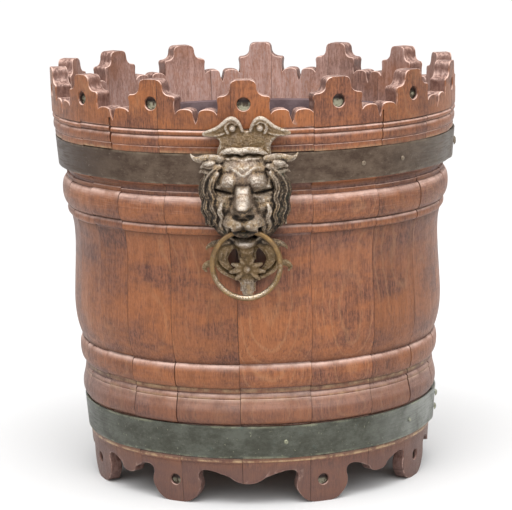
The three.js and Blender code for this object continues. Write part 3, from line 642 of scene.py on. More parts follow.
@dataclass(frozen=True)
class OakFinish:
    """Old waxed oak of the staves. Its lengths are in metres."""

    name: str = "waxed oak"
    dark: Colour = paint(74, 43, 33)
    body: Colour = paint(125, 79, 58)
    warm: Colour = paint(160, 96, 50)
    ring_line: Colour = paint(160, 117, 83)
    # Pale dusty wax on the ledges, which also stands for a painted highlight on the upward faces
    dust_and_highlight: Colour = paint(224, 190, 176)
    inside: Colour = paint(166, 136, 128)
    sawn: Colour = paint(122, 95, 88)
    edge: Colour = paint(188, 160, 148)
    # Very dark colour of grimy joints, also laid as painted shade in the hollows, in the holes and inside the ring
    grime_and_shade: Colour = paint(42, 26, 21)
    foot: Colour = paint(92, 68, 62)
    plug: Colour = paint(176, 172, 148)
    plug_dark: Colour = paint(84, 70, 54)
    # Chalky wax in the quirks, also the colour of the painted highlight line on the apron's bead
    chalk: Colour = paint(180, 152, 116)
    ring_width: float = 0.0062
    # Height of a pale line painted as the highlight of the apron's bead
    bead_highlight_line: float = 0.0432
    ring_centre: float = 0.239
    # Spread of the painted shadow and dirty wax inside the ring, across and upwards
    ring_shadow_and_dirt: Pair = (1900.0, 1600.0)

    def make(self, effects: Effects) -> Material:
        """Builds the material.

        Args:
            effects: The shared node groups.

        Returns:
            The material.
        """
        tree = Surface(self.name, self.dark)
        grain, log, turned = tree.stored("grain"), tree.stored("log"), tree.stored("turned", "Fac")
        hollow_grime_and_shade, wear, plug = tree.parts(tree.stored("marks"))
        depth, joint, rub_and_crest_highlight = tree.parts(tree.stored("wall"))
        tone, foot, chalk = tree.parts(tree.stored("tone"))
        out = effects.timber.into(tree, {"Grain": grain, "Log": log, "Ring Width": self.ring_width})
        dust_and_highlight = effects.dust_and_highlight.into(tree, {"Place": grain, "Start": 0.06})["Dusting and Highlight"]
        streaks = out["Streaks"]
        patches = tree.noise(grain, 9, 4, 0.6)
        # The wood itself: streaks, blotches, rubbed places with a painted highlight on the moulding crest lines, growth
        # rings, pores and the stave's tone
        tree.lay(self.body, streaks)
        tree.lay(self.warm, out["Blotches"], 0.5)
        tree.lay(self.warm, rub_and_crest_highlight, tree.band(patches, 0.35, 0.6), tree.band(streaks, 0, 1, 0.4, 1), 0.75)
        tree.lay(self.ring_line, out["Rings"], tree.band(patches, 0.42, 0.62), 0.3)
        tree.lay(self.dark, out["Pores"], 0.55)
        tree.colour = tree.shaded(tree.colour, tree.band(tone, -1, 1, 0.80, 1.14))
        tree.lay(self.foot, foot, 0.75)
        # The faded inside, and the open wood of the sawn faces
        inner = tree.band(depth, 0.9, 1)
        bare = tree.band(patches, 0.35, 0.55, 0.35, 1)
        wide = tree.noise(tree.stretch(grain, (1, 1, 0.08)), 170, 3, 0.6)
        cast = tree.times(tree.band(tone, -1, 1, 0.95, 1.03), tree.band(wide, 0.35, 0.65, 0.84, 1.14))
        tree.lay(tree.shaded(self.inside, cast), inner, tree.band(streaks, 0, 1, 0.45, 1), bare)
        sawn = tree.times(tree.band(depth, 0.03, 0.12), tree.less(1, inner))
        tree.lay(self.sawn, sawn, 0.75)
        pits = tree.noise(tree.stretch(grain, (1, 1, 0.4)), 330, 4, 0.7)
        pitted = tree.times(sawn, tree.band(pits, 0.4, 0.62))
        tree.lay(self.dark, pitted, 0.6)
        # Dusty wax with a painted highlight on the ledges, chalky wax in the quirks, a pale line painted as the
        # highlight of the apron's bead, and painted shadow with dirty wax on the wood inside the ring
        ledge_dust_and_highlight = tree.times(dust_and_highlight, tree.less(0.95, tree.times(sawn, 0.6)), tree.less(1, tree.times(foot, 0.5)))
        tree.lay(self.dust_and_highlight, tree.math("SUBTRACT", ledge_dust_and_highlight, tree.times(pitted, 0.3), clamp=True))
        specked = tree.band(tree.noise(grain, 75, 5, 0.7), 0.36, 0.62)
        tree.lay(self.chalk, chalk, specked, 0.8)
        side, _, high = tree.parts(tree.spot())
        # Painted highlight: a pale chalky line where the apron's bead catches the light
        bead = tree.band(tree.math("ABSOLUTE", tree.less(high, self.bead_highlight_line)), 0.0004, 0.0012, 1, 0)
        tree.lay(self.chalk, bead, tree.band(depth, 0.04, 0.08, 0.75, 0), specked)
        # Painted shadow, with dirty wax, on the wood inside the ring behind the tail plate
        high = tree.less(high, self.ring_centre)
        away = tree.plus(tree.times(side, side, self.ring_shadow_and_dirt[0]), tree.times(high, high, self.ring_shadow_and_dirt[1]))
        tree.lay(self.grime_and_shade, tree.band(away, 0.5, 1.5, 0.72, 0))
        # Lathe marks with a painted streaky highlight on their upward faces, worn edges, grimy wax and painted shade in
        # the hollows, grimy joints, and the plugs with painted shade on the hole walls and high in each hole
        lathe = tree.noise(tree.stretch(grain, (0.07, 1, 1)), 620, 3, 0.65)
        # Light lathe lines, strongest on upward faces, are partly a painted streaky highlight
        tree.lay(self.dust_and_highlight, turned, tree.band(lathe, 0.52, 0.68), tree.plus(0.12, dust_and_highlight), 0.52)
        tree.lay(self.dark, turned, tree.band(lathe, 0.36, 0.46, 1, 0), 0.25)
        tree.lay(self.edge, wear, tree.band(tree.noise(grain, 110, 5, 0.7), 0.42, 0.66), 0.62)
        # Grimy wax and painted shade in the hollows of the mouldings
        tree.lay(self.grime_and_shade, hollow_grime_and_shade, tree.band(tree.noise(grain, 60, 5, 0.7), 0.2, 0.6, 0.55, 1), 0.62)
        seam = tree.band(joint, 0, 0.8, 1, 0)
        tree.lay(self.grime_and_shade, seam, tree.band(tree.noise(grain, 40, 4), 0.35, 0.65, 0.1, 1), 0.6)
        # Painted shade on the walls of each hole and over the upper part of its plug
        tree.lay(self.grime_and_shade, tree.band(plug, 0.1, 0.5))
        patchy = tree.band(tree.noise(grain, 170, 4, 0.6), 0.42, 0.56)
        tree.lay(tree.blend(patchy, self.plug_dark, self.plug), tree.band(plug, 0.55, 0.95))
        dull = tree.times(tree.math("MAXIMUM", dust_and_highlight, hollow_grime_and_shade), 0.15)
        tree.keep(Specular_IOR_Level=0.32, Coat_Weight=0.08, Coat_Roughness=0.32)
        height = tree.plus(
            out["Relief"],
            tree.times(tree.noise(grain, 90, 4), 0.9),
            tree.times(sawn, tree.noise(grain, 240, 4, 0.6), 4),
            tree.times(turned, lathe, 1.2),
        )
        return tree.finish(tree.plus(tree.band(streaks, 0, 1, 0.52, 0.40), dull), height, 0.45, 0.0005)


@dataclass(frozen=True)
class BoardFinish:
    """Bare old oak of the bottom boards and dowels, which are the frame's own pieces."""

    name: str = "bare oak"
    dark: Colour = paint(92, 66, 52)
    body: Colour = paint(142, 108, 84)
    ring_width: float = 0.005
    heart: Triple = (0.03, 0.09, 0.0)

    def make(self, effects: Effects) -> Material:
        """Builds the material.

        Args:
            effects: The shared node groups.

        Returns:
            The material.
        """
        tree = Surface(self.name, self.dark)
        lying = tree.put("Mapping", {"Vector": tree.spot(), "Rotation": (math.pi / 2, 0, 0)}).outputs[0]
        heart = tree.put("Mapping", {"Vector": lying, "Location": self.heart}).outputs[0]
        log = tree.stretch(heart, (1, 1, 0.04))
        out = effects.timber.into(tree, {"Grain": lying, "Log": log, "Ring Width": self.ring_width})
        tree.lay(self.body, out["Streaks"])
        tree.lay(self.dark, out["Rings"], 0.35)
        tree.lay(self.dark, out["Pores"], 0.5)
        return tree.finish(tree.band(out["Blotches"], 0, 1, 0.7, 0.85), out["Relief"], 0.5, 0.0004)


@dataclass(frozen=True)
class SheetBrassFinish:
    """Tarnished sheet brass of a band, with its nails and rivets."""

    name: str
    base: Colour
    cloud: Colour
    stain: Colour
    speck: Colour
    far: Colour
    far_amount: float
    left_amount: float
    spread: float
    metallic: float = 0.55

    def make(self, effects: Effects) -> Material:
        """Builds the material.

        Args:
            effects: The shared node groups.

        Returns:
            The material.
        """
        tree = Surface(self.name, self.base)
        strip = tree.stored("strip")
        near, edge, pin = tree.parts(tree.stored("strip_marks"))
        out = effects.patina.into(tree, {"Place": strip, "Spread": self.spread})
        tree.lay(self.cloud, out["Clouds"])
        tree.lay(self.stain, out["Stains"], 0.6)
        tree.lay(self.far, near, self.far_amount, tree.band(tree.noise(strip, 22, 5, 0.7), 0.3, 0.6))
        tree.lay(self.base, tree.band(near, -1, 0, self.left_amount, 0))
        tree.lay(self.cloud, out["Scratches"], 0.22)
        tree.lay(self.speck, out["Specks"], 0.35)
        tree.lay(self.speck, edge, tree.band(tree.noise(strip, 55, 5, 0.7), 0.42, 0.66), 0.55)
        tree.lay(self.speck, pin, tree.band(tree.noise(strip, 500, 3, 0.6), 0.35, 0.65, 0.2, 0.85))
        tree.keep(Metallic=self.metallic)
        rough = tree.plus(tree.band(out["Scratches"], 0, 1, 0.42, 0.58), tree.times(out["Stains"], 0.12))
        height = tree.plus(tree.noise(strip, 55, 4), tree.times(out["Specks"], 0.25))
        return tree.finish(rough, height, 0.4, 0.0012)


@dataclass(frozen=True)
class CastBrassFinish:
    """Antique cast brass: dark in the hollows and rubbed bright on the high places."""

    name: str = "antique cast brass"
    deep: Colour = paint(34, 26, 18)
    low: Colour = paint(84, 68, 51)
    mid: Colour = paint(145, 130, 113)
    high: Colour = paint(204, 192, 178)
    gold: Colour = paint(152, 121, 74)
    green: Colour = paint(84, 92, 74)
    rosy: Colour = paint(134, 110, 101)
    grit: float = 1.0
    metallic: float = 0.5
    shine: float = 0.34

    def make(self, effects: Effects) -> Material:
        """Builds the material.

        Args:
            effects: The shared node groups.

        Returns:
            The material.
        """
        tree = Surface(self.name, self.deep)
        spot = tree.spot()
        out = effects.patina.into(tree, {"Place": spot, "Spread": 0.12})
        local, zone, yellow = tree.parts(tree.stored("relief"))
        speckle = tree.noise(spot, 640, 3, 0.6)
        cloudy = tree.times(tree.less(tree.noise(spot, 210, 5, 0.75), 0.5), 2.2)
        uneven = tree.times(tree.plus(cloudy, tree.times(tree.less(speckle, 0.5), 3)), self.grit)
        level = tree.plus(tree.times(local, 0.65), zone, uneven)
        tree.lay(self.low, tree.band(level, -1.1, -0.4))
        tree.lay(self.mid, tree.band(level, -0.5, 0.35))
        gilt = tree.times(tree.band(tree.noise(spot, 130, 4, 0.6), 0.45, 0.62), tree.band(level, -0.4, 0.2), 0.55)
        bright = tree.times(yellow, tree.band(tree.noise(spot, 190, 4), 0.3, 0.6, 0.45, 1))
        tree.lay(self.gold, tree.math("MAXIMUM", gilt, bright))
        tree.lay(self.rosy, out["Clouds"], tree.band(zone, -0.2, 0.4), 0.4)
        tree.lay(self.green, out["Stains"], 0.35)
        tree.lay(self.high, tree.band(level, 0.4, 1.35), tree.band(yellow, 0, 1, 1, 0.6))
        tree.keep(Metallic=self.metallic)
        height = tree.plus(tree.times(speckle, 0.7), tree.noise(spot, 190, 4, 0.6))
        return tree.finish(tree.band(level, -0.5, 0.9, 0.56, self.shine), height, self.grit, 0.0022)


@dataclass(frozen=True)
class PlainMetalFinish:
    """Dull metal of the liner, the studs and the nuts."""

    name: str
    base: Colour
    cloud: Colour
    metallic: float
    rough: float

    def make(self, effects: Effects) -> Material:
        """Builds the material.

        Args:
            effects: The shared node groups.

        Returns:
            The material.
        """
        tree = Surface(self.name, self.base)
        spot = tree.spot()
        out = effects.patina.into(tree, {"Place": spot, "Spread": 0.1})
        tree.lay(self.cloud, out["Clouds"])
        tree.lay(self.base, out["Stains"], 0.3)
        tree.keep(Metallic=self.metallic)
        rough = tree.band(out["Clouds"], 0, 1, self.rough, self.rough + 0.12)
        return tree.finish(rough, tree.noise(spot, 70, 4), 0.3, 0.0008)


# ---- The wall and its staves


@dataclass(frozen=True)
class Wall:
    """The turned wall of the bucket: its outside and inside line."""

    height: float = 406.0
    rim: float = 199.5
    rim_wall: float = 15.0
    foot: float = 167.0
    foot_wall: float = 12.0
    crown_bottom: float = 361.0
    apron_top: float = 41.0
    groove_bottom: float = 59.5
    groove_top: float = 67.5
    groove_depth: float = 4.5
    apron_lean: float = 2.8
    bead_power: float = 0.9
    level_step: float = 0.5
    level_reach: int = 24
    level_spread: float = 9.0

    def straight(self, z: float) -> float:
        """Gives the radius of the straight outside line at a height."""
        return self.foot + (self.rim - self.foot) * z / self.height

    def inner(self, z: float) -> float:
        """Gives the inside radius at a height."""
        low, high = self.foot - self.foot_wall, self.rim - self.rim_wall
        return low + (high - low) * z / self.height

    def crown_face(self, z: float) -> float:
        """Gives the outside radius of the crown at a height."""
        return self.rim - (self.height - z) / (self.height - self.crown_bottom)

    def apron_face(self, z: float) -> float:
        """Gives the outside radius of the apron and the feet at a height."""
        return self.foot + self.apron_lean * z / self.apron_top

    def half_round(self, top: Pair, bottom: Pair, crest: float, steps: int) -> list[Pair]:
        """Draws a bead between two points of the line.

        Args:
            top: Upper end, radius and height.
            bottom: Lower end.
            crest: Greatest radius of the bead.
            steps: Number of points.

        Returns:
            The points, both ends among them.
        """
        line = []
        rise = crest - (top[0] + bottom[0]) / 2
        for i in range(steps + 1):
            angle = math.pi * i / steps
            base = top[0] + (bottom[0] - top[0]) * i / steps
            z = (top[1] + bottom[1]) / 2 + (top[1] - bottom[1]) / 2 * math.cos(angle)
            line.append((base + rise * math.sin(angle) ** self.bead_power, z))
        return line

    def outer_line(self) -> list[Pair]:
        """Draws the outside from the tips to the floor.

        Returns:
            Radius and height of each point.
        """
        line: list[Pair] = [(self.crown_face(z), z) for z in (406, 401, 396, 391, 386, 381, 376, 371, 366, 362)]
        line += [(198.1, 361.2), (196.9, 360.8)]
        line += self.half_round((196.2, 360.4), (196.2, 355.3), 198.7, 8)
        line += self.half_round((196.1, 354.8), (196.2, 345.2), 198.1, 10)
        line += [(196, 344.8), (196.5, 344.3), (196.6, 342), (196.3, 339.2), (195.6, 338.8), (193.4, 338.6)]
        line += [(192.4, 325), (191.1, 309.4), (190.6, 308.8), (187.6, 307.6)]
        line += [(185.9, 306.2), (185.1, 304.2), (184.9, 301.8), (186.2, 301.5), (186.6, 301), (186.5, 298)]
        line += self.half_round((186.2, 297.5), (184.8, 270.5), 191.2, 16)
        line += self.half_round((184.4, 270.1), (184, 261.4), 186.8, 10)
        line += [(183.3, 260.9), (182.8, 258.5)]
        body = [(182.2, 255), (181.2, 249), (180.6, 241), (180.4, 232), (180.8, 218), (181.5, 204)]
        body += [(182.2, 190), (182.7, 177), (182.6, 168), (181.9, 160), (180.6, 152)]
        body += [(178.7, 145), (176.2, 138.6)]
        line += smooth_path(body, 2)
        line += [(174.9, 137.6)]
        line += self.half_round((175.3, 137.2), (174.2, 114.4), 178.7, 14)
        line += [(173.6, 114), (173.9, 112.8), (174, 110), (173.5, 109.6), (172.6, 109.2)]
        line += [(172.9, 108.3), (174.1, 107.2), (174.5, 104.6), (174, 103.8), (174.6, 103)]
        foot_torus = [(174.6, 103.0), (175.7, 98.0), (176.9, 92.5), (177.0, 87.0), (175.9, 82.2), (173.4, 79.2)]
        line += smooth_path(foot_torus, 2)[1:]
        line += [(170.6, 78.8), (172.4, 77.8), (170, 46.2), (170.9, 45.9), (171.2, 45.2), (170.9, 41.8)]
        line += [(170.4, 41.2), (169.8, 40.8), (169.4, 34), (168.8, 26), (168.3, 18), (167.7, 10), (167, 0)]
        return line

    def inner_line(self) -> list[Pair]:
        """Draws the inside from the floor to the tips.

        Returns:
            Radius and height of each point.
        """
        low, high = self.groove_bottom, self.groove_top
        line = [(self.inner(z), float(z)) for z in (0, 10, 18, 26, 34, 41, 50)]
        line += [(self.inner(low), low), (self.inner(low) + self.groove_depth, low)]
        line += [(self.inner(high) + self.groove_depth, high), (self.inner(high), high)]
        heights = (100, 140, 180, 220, 260, 300, 340, 361, 366, 371, 376, 381, 386, 391, 396, 401, 406)
        return line + [(self.inner(z), float(z)) for z in heights]

    def levels(self) -> tuple[np.ndarray, np.ndarray, np.ndarray]:
        """Measures the outside line for the finish.

        Returns:
            Heights, the radius at each, and the radius smoothed over the neighbouring mouldings.
        """
        line = sorted((z, r) for r, z in self.outer_line())
        heights = np.arange(0.0, self.height + self.level_step / 2, self.level_step)
        radius = np.interp(heights, [z for z, _ in line], [r for _, r in line])
        reach = self.level_reach
        kernel = np.exp(-0.5 * (np.arange(-reach, reach + 1) / self.level_spread) ** 2)
        padded = np.pad(radius, reach, mode="edge")
        return heights, radius, np.convolve(padded, kernel / kernel.sum(), mode="valid")


@dataclass(frozen=True)
class Crack:
    """An opened joint: where, how high, how wide at each end, and how deep."""

    degrees: float
    low: float
    high: float
    low_width: float
    high_width: float
    depth: float = 9.0


@dataclass(frozen=True)
class WallMarks:
    """Where wear, grimy wax, dusty chalk, painted shade and painted highlights lie on the wall.

    A zone has its lower end, upper end and strength. A line has its height, half width and
    strength. A fade has its start, its length, which is negative downwards, and its strength.
    """

    skin: float = 0.06
    # Depth at which a recess gets full grimy wax and painted shade, height at which a crest line gets a full painted
    # highlight, and heights where the recesses get less or more
    hollow_depth: float = 1.9
    crest_height: float = 2.2
    hollow_grime_and_shade_zones: tuple[Triple, ...] = ((296.0, 311.0, 0.6), (250.0, 268.0, 1.4))
    lathe_zones: tuple[Triple, ...] = ((276.0, 330.0, 1.0), (90.0, 134.0, 0.35))
    lathe_fade: float = 6.0
    rubbed_lines: tuple[Triple, ...] = ((176.0, 14.0, 0.35),)
    chalk_lines: tuple[Triple, ...] = ((112.5, 1.6, 1.0), (339.6, 1.0, 0.8), (104.2, 1.4, 0.5), (44.6, 1.2, 0.6))
    crown_fade: Triple = (345.0, 20.0, 0.8)
    foot_fade: Triple = (50.0, -14.0, 1.0)
    damp_fade: Triple = (122.0, -14.0, 0.55)
    damp_bottom: float = 43.0
    edge_from: float = 0.04
    edge_share: float = 0.62
    plug_reach: float = 8.2
    foot_plug_tone: float = 0.8

    def grime_and_shade_by_height(self, z: np.ndarray) -> np.ndarray:
        """Gives how strongly the hollows darken at each height, with grimy wax and painted shade, 1 outside the zones.
        """
        inside = [(z > low) & (z < high) for low, high, _ in self.hollow_grime_and_shade_zones]
        return np.select(inside, [strength for _, _, strength in self.hollow_grime_and_shade_zones], 1.0)

    def lathe(self, z: np.ndarray) -> np.ndarray:
        """Gives how clearly the lathe marks, with the painted streaky highlight on them, show at each height."""
        fade = self.lathe_fade
        return sum(much * ramp(z, low, fade) * ramp(z, high, -fade) for low, high, much in self.lathe_zones)

    @staticmethod
    def lines(z: np.ndarray, lines: Sequence[Triple]) -> np.ndarray:
        """Gives how strongly soft lines show at each height."""
        return sum(strength * np.exp(-(((z - height) / width) ** 2)) for height, width, strength in lines)

    @staticmethod
    def fade(z: np.ndarray, shape: Triple) -> np.ndarray:
        """Gives how far a fade has gone at each height."""
        return shape[2] * ramp(z, shape[0], shape[1])


@dataclass
class Staves:
    """The nineteen staves, each turned, sawn and bored on its own."""

    wall: Wall
    effects: Effects
    widths: tuple[float, ...] = (70, 67, 59, 60, 64, 60, 67, 63, 62, 65, 64, 64, 61, 60, 53, 49, 42, 51, 65)
    first_joint: float = -3.3
    slit: float = 0.14
    arris: float = 0.16
    teeth: int = 14
    tooth_hole: float = 12.4
    tooth_hole_depth: float = 6.0
    tooth_hole_drop: float = 21.8
    feet_at: tuple[float, ...] = (23.1, 66.5, 112, 157, 203, 248, 293, 333.6)
    foot_hole: float = 10.5
    foot_hole_depth: float = 5.0
    foot_hole_height: float = 21.8
    worn_edge: float = 0.95
    step_degrees: float = 2.2
    uneven: float = 0.7
    uneven_fade: Pair = (30.0, 14.0)
    cutter_over: float = 10.0
    cutter_through: float = 12.0
    cutter_past: float = 14.0
    hole_bevel: float = 0.8
    hole_corners: int = 28
    hole_reach: float = 3.0
    crack_reach: float = 1.0
    marks: WallMarks = WallMarks()
    mean_radius: float = 190.0
    grain_apart: Triple = (137.0, 61.0, 223.0)
    log_radius: float = 200.0
    pith_aside: float = 16.0
    heart_depth: Pair = (8.0, 60.0)
    fibre_slope: Pair = (0.03, 0.09)
    tone_spread: float = 0.7
    cracks: tuple[Crack, ...] = (
        Crack(320.2, 338.5, 369, 0.9, 3.6, 14),
        Crack(336.2, 113, 139, 0.9, 1.1),
        Crack(336.2, 78, 110, 1.3, 0.9),
        Crack(58, 259, 300, 0.9, 1.3),
        Crack(58, 78, 140, 1.4, 0.9),
        Crack(39.6, 338.5, 372, 0.5, 1.8, 14),
        Crack(197, 338.5, 368, 0.7, 2.2, 14),
        Crack(116, 78, 138, 0.8, 1.2),
        Crack(256, 262, 300, 1, 0.7),
    )

    def spans(self) -> list[Pair]:
        """Lays the staves out round the bucket.

        Returns:
            The angles of both joints of each stave.
        """
        total = sum(self.widths)
        spans, joint = [], self.first_joint
        for width in self.widths:
            spans.append((joint, joint + 360 * width / total))
            joint = spans[-1][1]
        return spans

    # Sawn shapes

    def tooth_edge(self, chance: random.Random) -> list[Pair]:
        """Draws one edge of a tooth, from its flat head to the bottom of the notch.

        Args:
            chance: Source of the small differences between hand-sawn teeth.

        Returns:
            Distance along the rim from the middle of the tooth, and drop below the tips.
        """
        def off(size: float) -> float:
            """Draws a small difference."""
            return chance.uniform(-size, size)

        half_pitch = math.pi * self.wall.rim / self.teeth
        head, shoulder = 12.4 + off(0.5), 24.6 + off(0.5)
        dip, lobe = 30.8 + off(0.7), 26.8 + off(0.7)
        edge: list[Pair] = [(6.8, 0.0)]
        edge += curve(edge[-1], (head - 0.1, 0.3), (head, 7.5), 7)
        edge += curve(edge[-1], (head + 0.9, 14.4), (shoulder - 2.6, 14.5 + off(0.4)), 7)
        edge += curve(edge[-1], (shoulder, 14.7), (shoulder + 0.2, 18), 4)
        edge += curve(edge[-1], (shoulder - 1.3, 24.5), (shoulder + 0.3, dip), 5)
        edge += curve(edge[-1], (shoulder + 2.4, lobe + 0.1), (34 + off(0.8), lobe), 6)
        edge += curve(edge[-1], (41, lobe - 0.2), (41.9, lobe + 3.4), 5)
        edge += curve(edge[-1], (42.6, 35), (half_pitch, 39.5), 4)
        return edge

    def foot_edge(self, to_scallop: float) -> list[Pair]:
        """Draws one edge of a foot, from its flat underside to the middle of the next scallop.

        Args:
            to_scallop: Distance to the middle of the scallop.

        Returns:
            Distance from the middle of the foot, and height.
        """
        edge: list[Pair] = [(9.4, 0.0)]
        edge += curve(edge[-1], (19, 1), (25.2, 13), 8)
        edge += curve(edge[-1], (27, 17.5), (25.6, 22.5), 5)
        edge += curve(edge[-1], (23.4, 27), (25.4, 30.6), 5)
        edge += curve(edge[-1], (27.4, 33.6), (32.5, 33.5), 5)
        edge += curve(edge[-1], (39, 33.4), ((39 + to_scallop) / 2, 26.8), 5)
        edge += curve(edge[-1], (to_scallop - 10, 20.5), (to_scallop, 20.5), 6)
        return edge

    def sawn_cutter(
        self,
        name: str,
        outline: list[Pair],
        centre: float,
        reference: float,
        outer: Callable[[float], float],
        depth: float | None = None,
    ) -> Piece:
        """Makes what a saw or a bit takes away, flared where the edges of the wood are worn round.

        Args:
            name: Name of the cutter.
            outline: Distance along the wall and height, anticlockwise seen from outside.
            centre: Angle of the outline's middle.
            reference: Radius at which the distances are measured.
            outer: Outside radius of the wood at a height.
            depth: Depth of a blind hole, or None to go through.

        Returns:
            The cutter.
        """
        count = len(outline)
        outward = []
        for i in range(count):
            before, here, after = (np.array(outline[(i + k) % count]) for k in (-1, 0, 1))
            a, b = here - before, after - here
            normal = np.array([a[1], -a[0]]) / (np.linalg.norm(a) + 1e-9)
            normal = normal + np.array([b[1], -b[0]]) / (np.linalg.norm(b) + 1e-9)
            outward.append(normal / max(0.8, float(np.linalg.norm(normal))))
        round_off = self.worn_edge
        flare = [(-0.1, 1.06), (0.134, 0.5), (0.5, 0.134), (1.0, 0.0)]

        def section(radius_at: Callable[[float], float], spread: float) -> list[Vector]:
            """Draws the outline at one depth.

            Args:
                radius_at: Radius of the section at a height.
                spread: How far the outline is grown.

            Returns:
                The points.
            """
            points = []
            for (s, z), normal in zip(outline, outward):
                s2, z2 = s + normal[0] * spread, z + normal[1] * spread
                angle = centre + math.degrees(s2 / reference)
                points.append(at(angle, radius_at(z2), z2))
            return points

        widest = round_off * flare[0][1]
        sections = [section(lambda z: outer(z) + self.cutter_over, widest)]
        for t, spread in flare:
            sections.append(section(lambda z, t=t: outer(z) - t * round_off, spread * round_off))
        if depth is not None:
            sections.append(section(lambda z: outer(z) - depth + self.hole_bevel, 0.0))
            sections.append(section(lambda z: outer(z) - depth, -self.hole_bevel))
        else:
            for t, spread in reversed(flare):
                sections.append(section(lambda z, t=t: self.wall.inner(z) + t * round_off, spread * round_off))
            sections.append(section(lambda z: self.wall.inner(z) - self.cutter_through, widest))
        return loft(name, sections, triangles=True)

    def notch(self, tooth: int) -> Piece:
        """Makes the cutter between a tooth and the next one.

        Args:
            tooth: Number of the tooth, from 0.

        Returns:
            The cutter.
        """
        chance = random.Random(400 + tooth)
        pitch = 2 * math.pi * self.wall.rim / self.teeth
        top = self.wall.height
        past = top + self.cutter_past
        left = [(s - pitch / 2, top - drop) for s, drop in self.tooth_edge(chance)]
        right = [(pitch / 2 - s, top - drop) for s, drop in self.tooth_edge(chance)]
        outline = left + right[::-1][1:] + [(right[0][0], past), (left[0][0], past)]
        centre = (tooth + 0.5) * 360 / self.teeth
        return self.sawn_cutter(f"notch_{tooth}", outline, centre, self.wall.rim, self.wall.crown_face)

    def arch(self, left: float, right: float) -> Piece:
        """Makes the cutter between two feet.

        Args:
            left: Angle of the left foot.
            right: Angle of the right foot.

        Returns:
            The cutter.
        """
        half = math.radians(right - left) * self.wall.foot / 2
        edge = self.foot_edge(half)
        rising = [(s - half, z) for s, z in edge]
        falling = [(half - s, z) for s, z in edge]
        past = -self.cutter_past
        outline = rising + falling[::-1][1:] + [(falling[0][0], past), (rising[0][0], past)]
        middle = (left + right) / 2
        return self.sawn_cutter(f"arch_{left:.0f}", outline[::-1], middle, self.wall.foot, self.wall.apron_face)

    def bore(self, name: str, degrees: float, z: float, diameter: float, depth: float, crown: bool) -> Piece:
        """Makes the cutter of a blind hole in a tooth or a foot.

        Args:
            name: Name of the cutter.
            degrees: Angle of the hole.
            z: Height of the hole.
            diameter: Its diameter.
            depth: Its depth.
            crown: Whether the hole is in a tooth.

        Returns:
            The cutter.
        """
        circle = [2 * math.pi * i / self.hole_corners for i in range(self.hole_corners)]
        outline = [(diameter / 2 * math.cos(a), z + diameter / 2 * math.sin(a)) for a in circle]
        face = self.wall.crown_face if crown else self.wall.apron_face
        reference = self.wall.rim if crown else self.wall.foot
        return self.sawn_cutter(name, outline, degrees, reference, face, depth)

    def opened(self, index: int, crack: Crack) -> Piece:
        """Makes the cutter of an opened joint.

        Args:
            index: Number of the crack, from 0.
            crack: The crack.

        Returns:
            The cutter.
        """
        sections = []
        for reach in (6.0, -crack.depth):
            row = []
            for side, z in ((-1, crack.low), (1, crack.low), (1, crack.high), (-1, crack.high)):
                width = crack.low_width if z == crack.low else crack.high_width
                radius = self.wall.straight(z) + reach
                row.append(at(crack.degrees + math.degrees(side * width / 2 / radius), radius, z))
            sections.append(row)
        return loft(f"crack_{index}", sections, triangles=True)

    # Staves

    def blank(self, index: int, span: Pair, chance: random.Random) -> Piece:
        """Turns one stave before it is sawn.

        Args:
            index: Number of the stave, from 0.
            span: Angles of its two joints.
            chance: Source of the small steps between neighbours.

        Returns:
            The blank.
        """
        lift, sink = chance.uniform(-self.uneven, self.uneven), chance.uniform(0.0, self.uneven)
        outer, inner = self.wall.outer_line(), self.wall.inner_line()
        low, high = self.wall.apron_top, self.wall.crown_bottom
        below, above = self.uneven_fade
        count = len(outer)
        line = []
        for i, (r, z) in enumerate(outer + inner):
            share = min(1.0, max(0.0, (z - low + below) / below), max(0.0, (high + above - z) / above))
            line.append((r - sink if i < count and low < z < high else r, z + lift * share))
        slit = math.degrees(self.slit / 2 / self.wall.inner(0))
        arris = math.degrees(self.arris / self.wall.rim)
        begin, end = span[0] + slit, span[1] - slit

        def section(degrees: float, shrink: float) -> list[Vector]:
            """Draws the stave's section at an angle, made thinner by a distance on both sides."""
            return [at(degrees, r - shrink if i < count else r + shrink, z) for i, (r, z) in enumerate(line)]

        name = f"stave_{index + 1:02d}_oak"
        piece = start_outline(name, section(begin + arris, 0.0))
        bpy.ops.object.mode_set(mode="EDIT")
        bpy.ops.mesh.select_all(action="SELECT")
        turn = end - begin - 2 * arris
        steps = max(4, round(turn / self.step_degrees))
        bpy.ops.mesh.spin(steps=steps, angle=-math.radians(turn), center=(0, 0, 0), axis=(0, 0, 1))
        self.ease_joint(piece, section(end, self.arris), last=True)
        self.ease_joint(piece, section(begin, self.arris), last=False)
        leave_edit(piece)
        return piece

    @staticmethod
    def ease_joint(piece: Piece, section: list[Vector], last: bool) -> None:
        """Extrudes one end of a blank onto its slightly smaller joint face.

        Args:
            piece: The blank in edit mode.
            section: The points of the joint face.
            last: Whether this is the end that the spin reached last.
        """
        mesh = bmesh.from_edit_mesh(piece.data)
        for face in mesh.faces:
            face.select = False
        mesh.select_flush(False)
        mesh.verts.ensure_lookup_table()
        ends = [face for face in mesh.faces if len(face.verts) == len(section)]
        wanted = max(ends, key=lambda f: max(v.index for v in f.verts)) if last else min(
            ends, key=lambda f: min(v.index for v in f.verts)
        )
        wanted.select_set(True)
        bmesh.update_edit_mesh(piece.data)
        extrude_onto(piece, section)

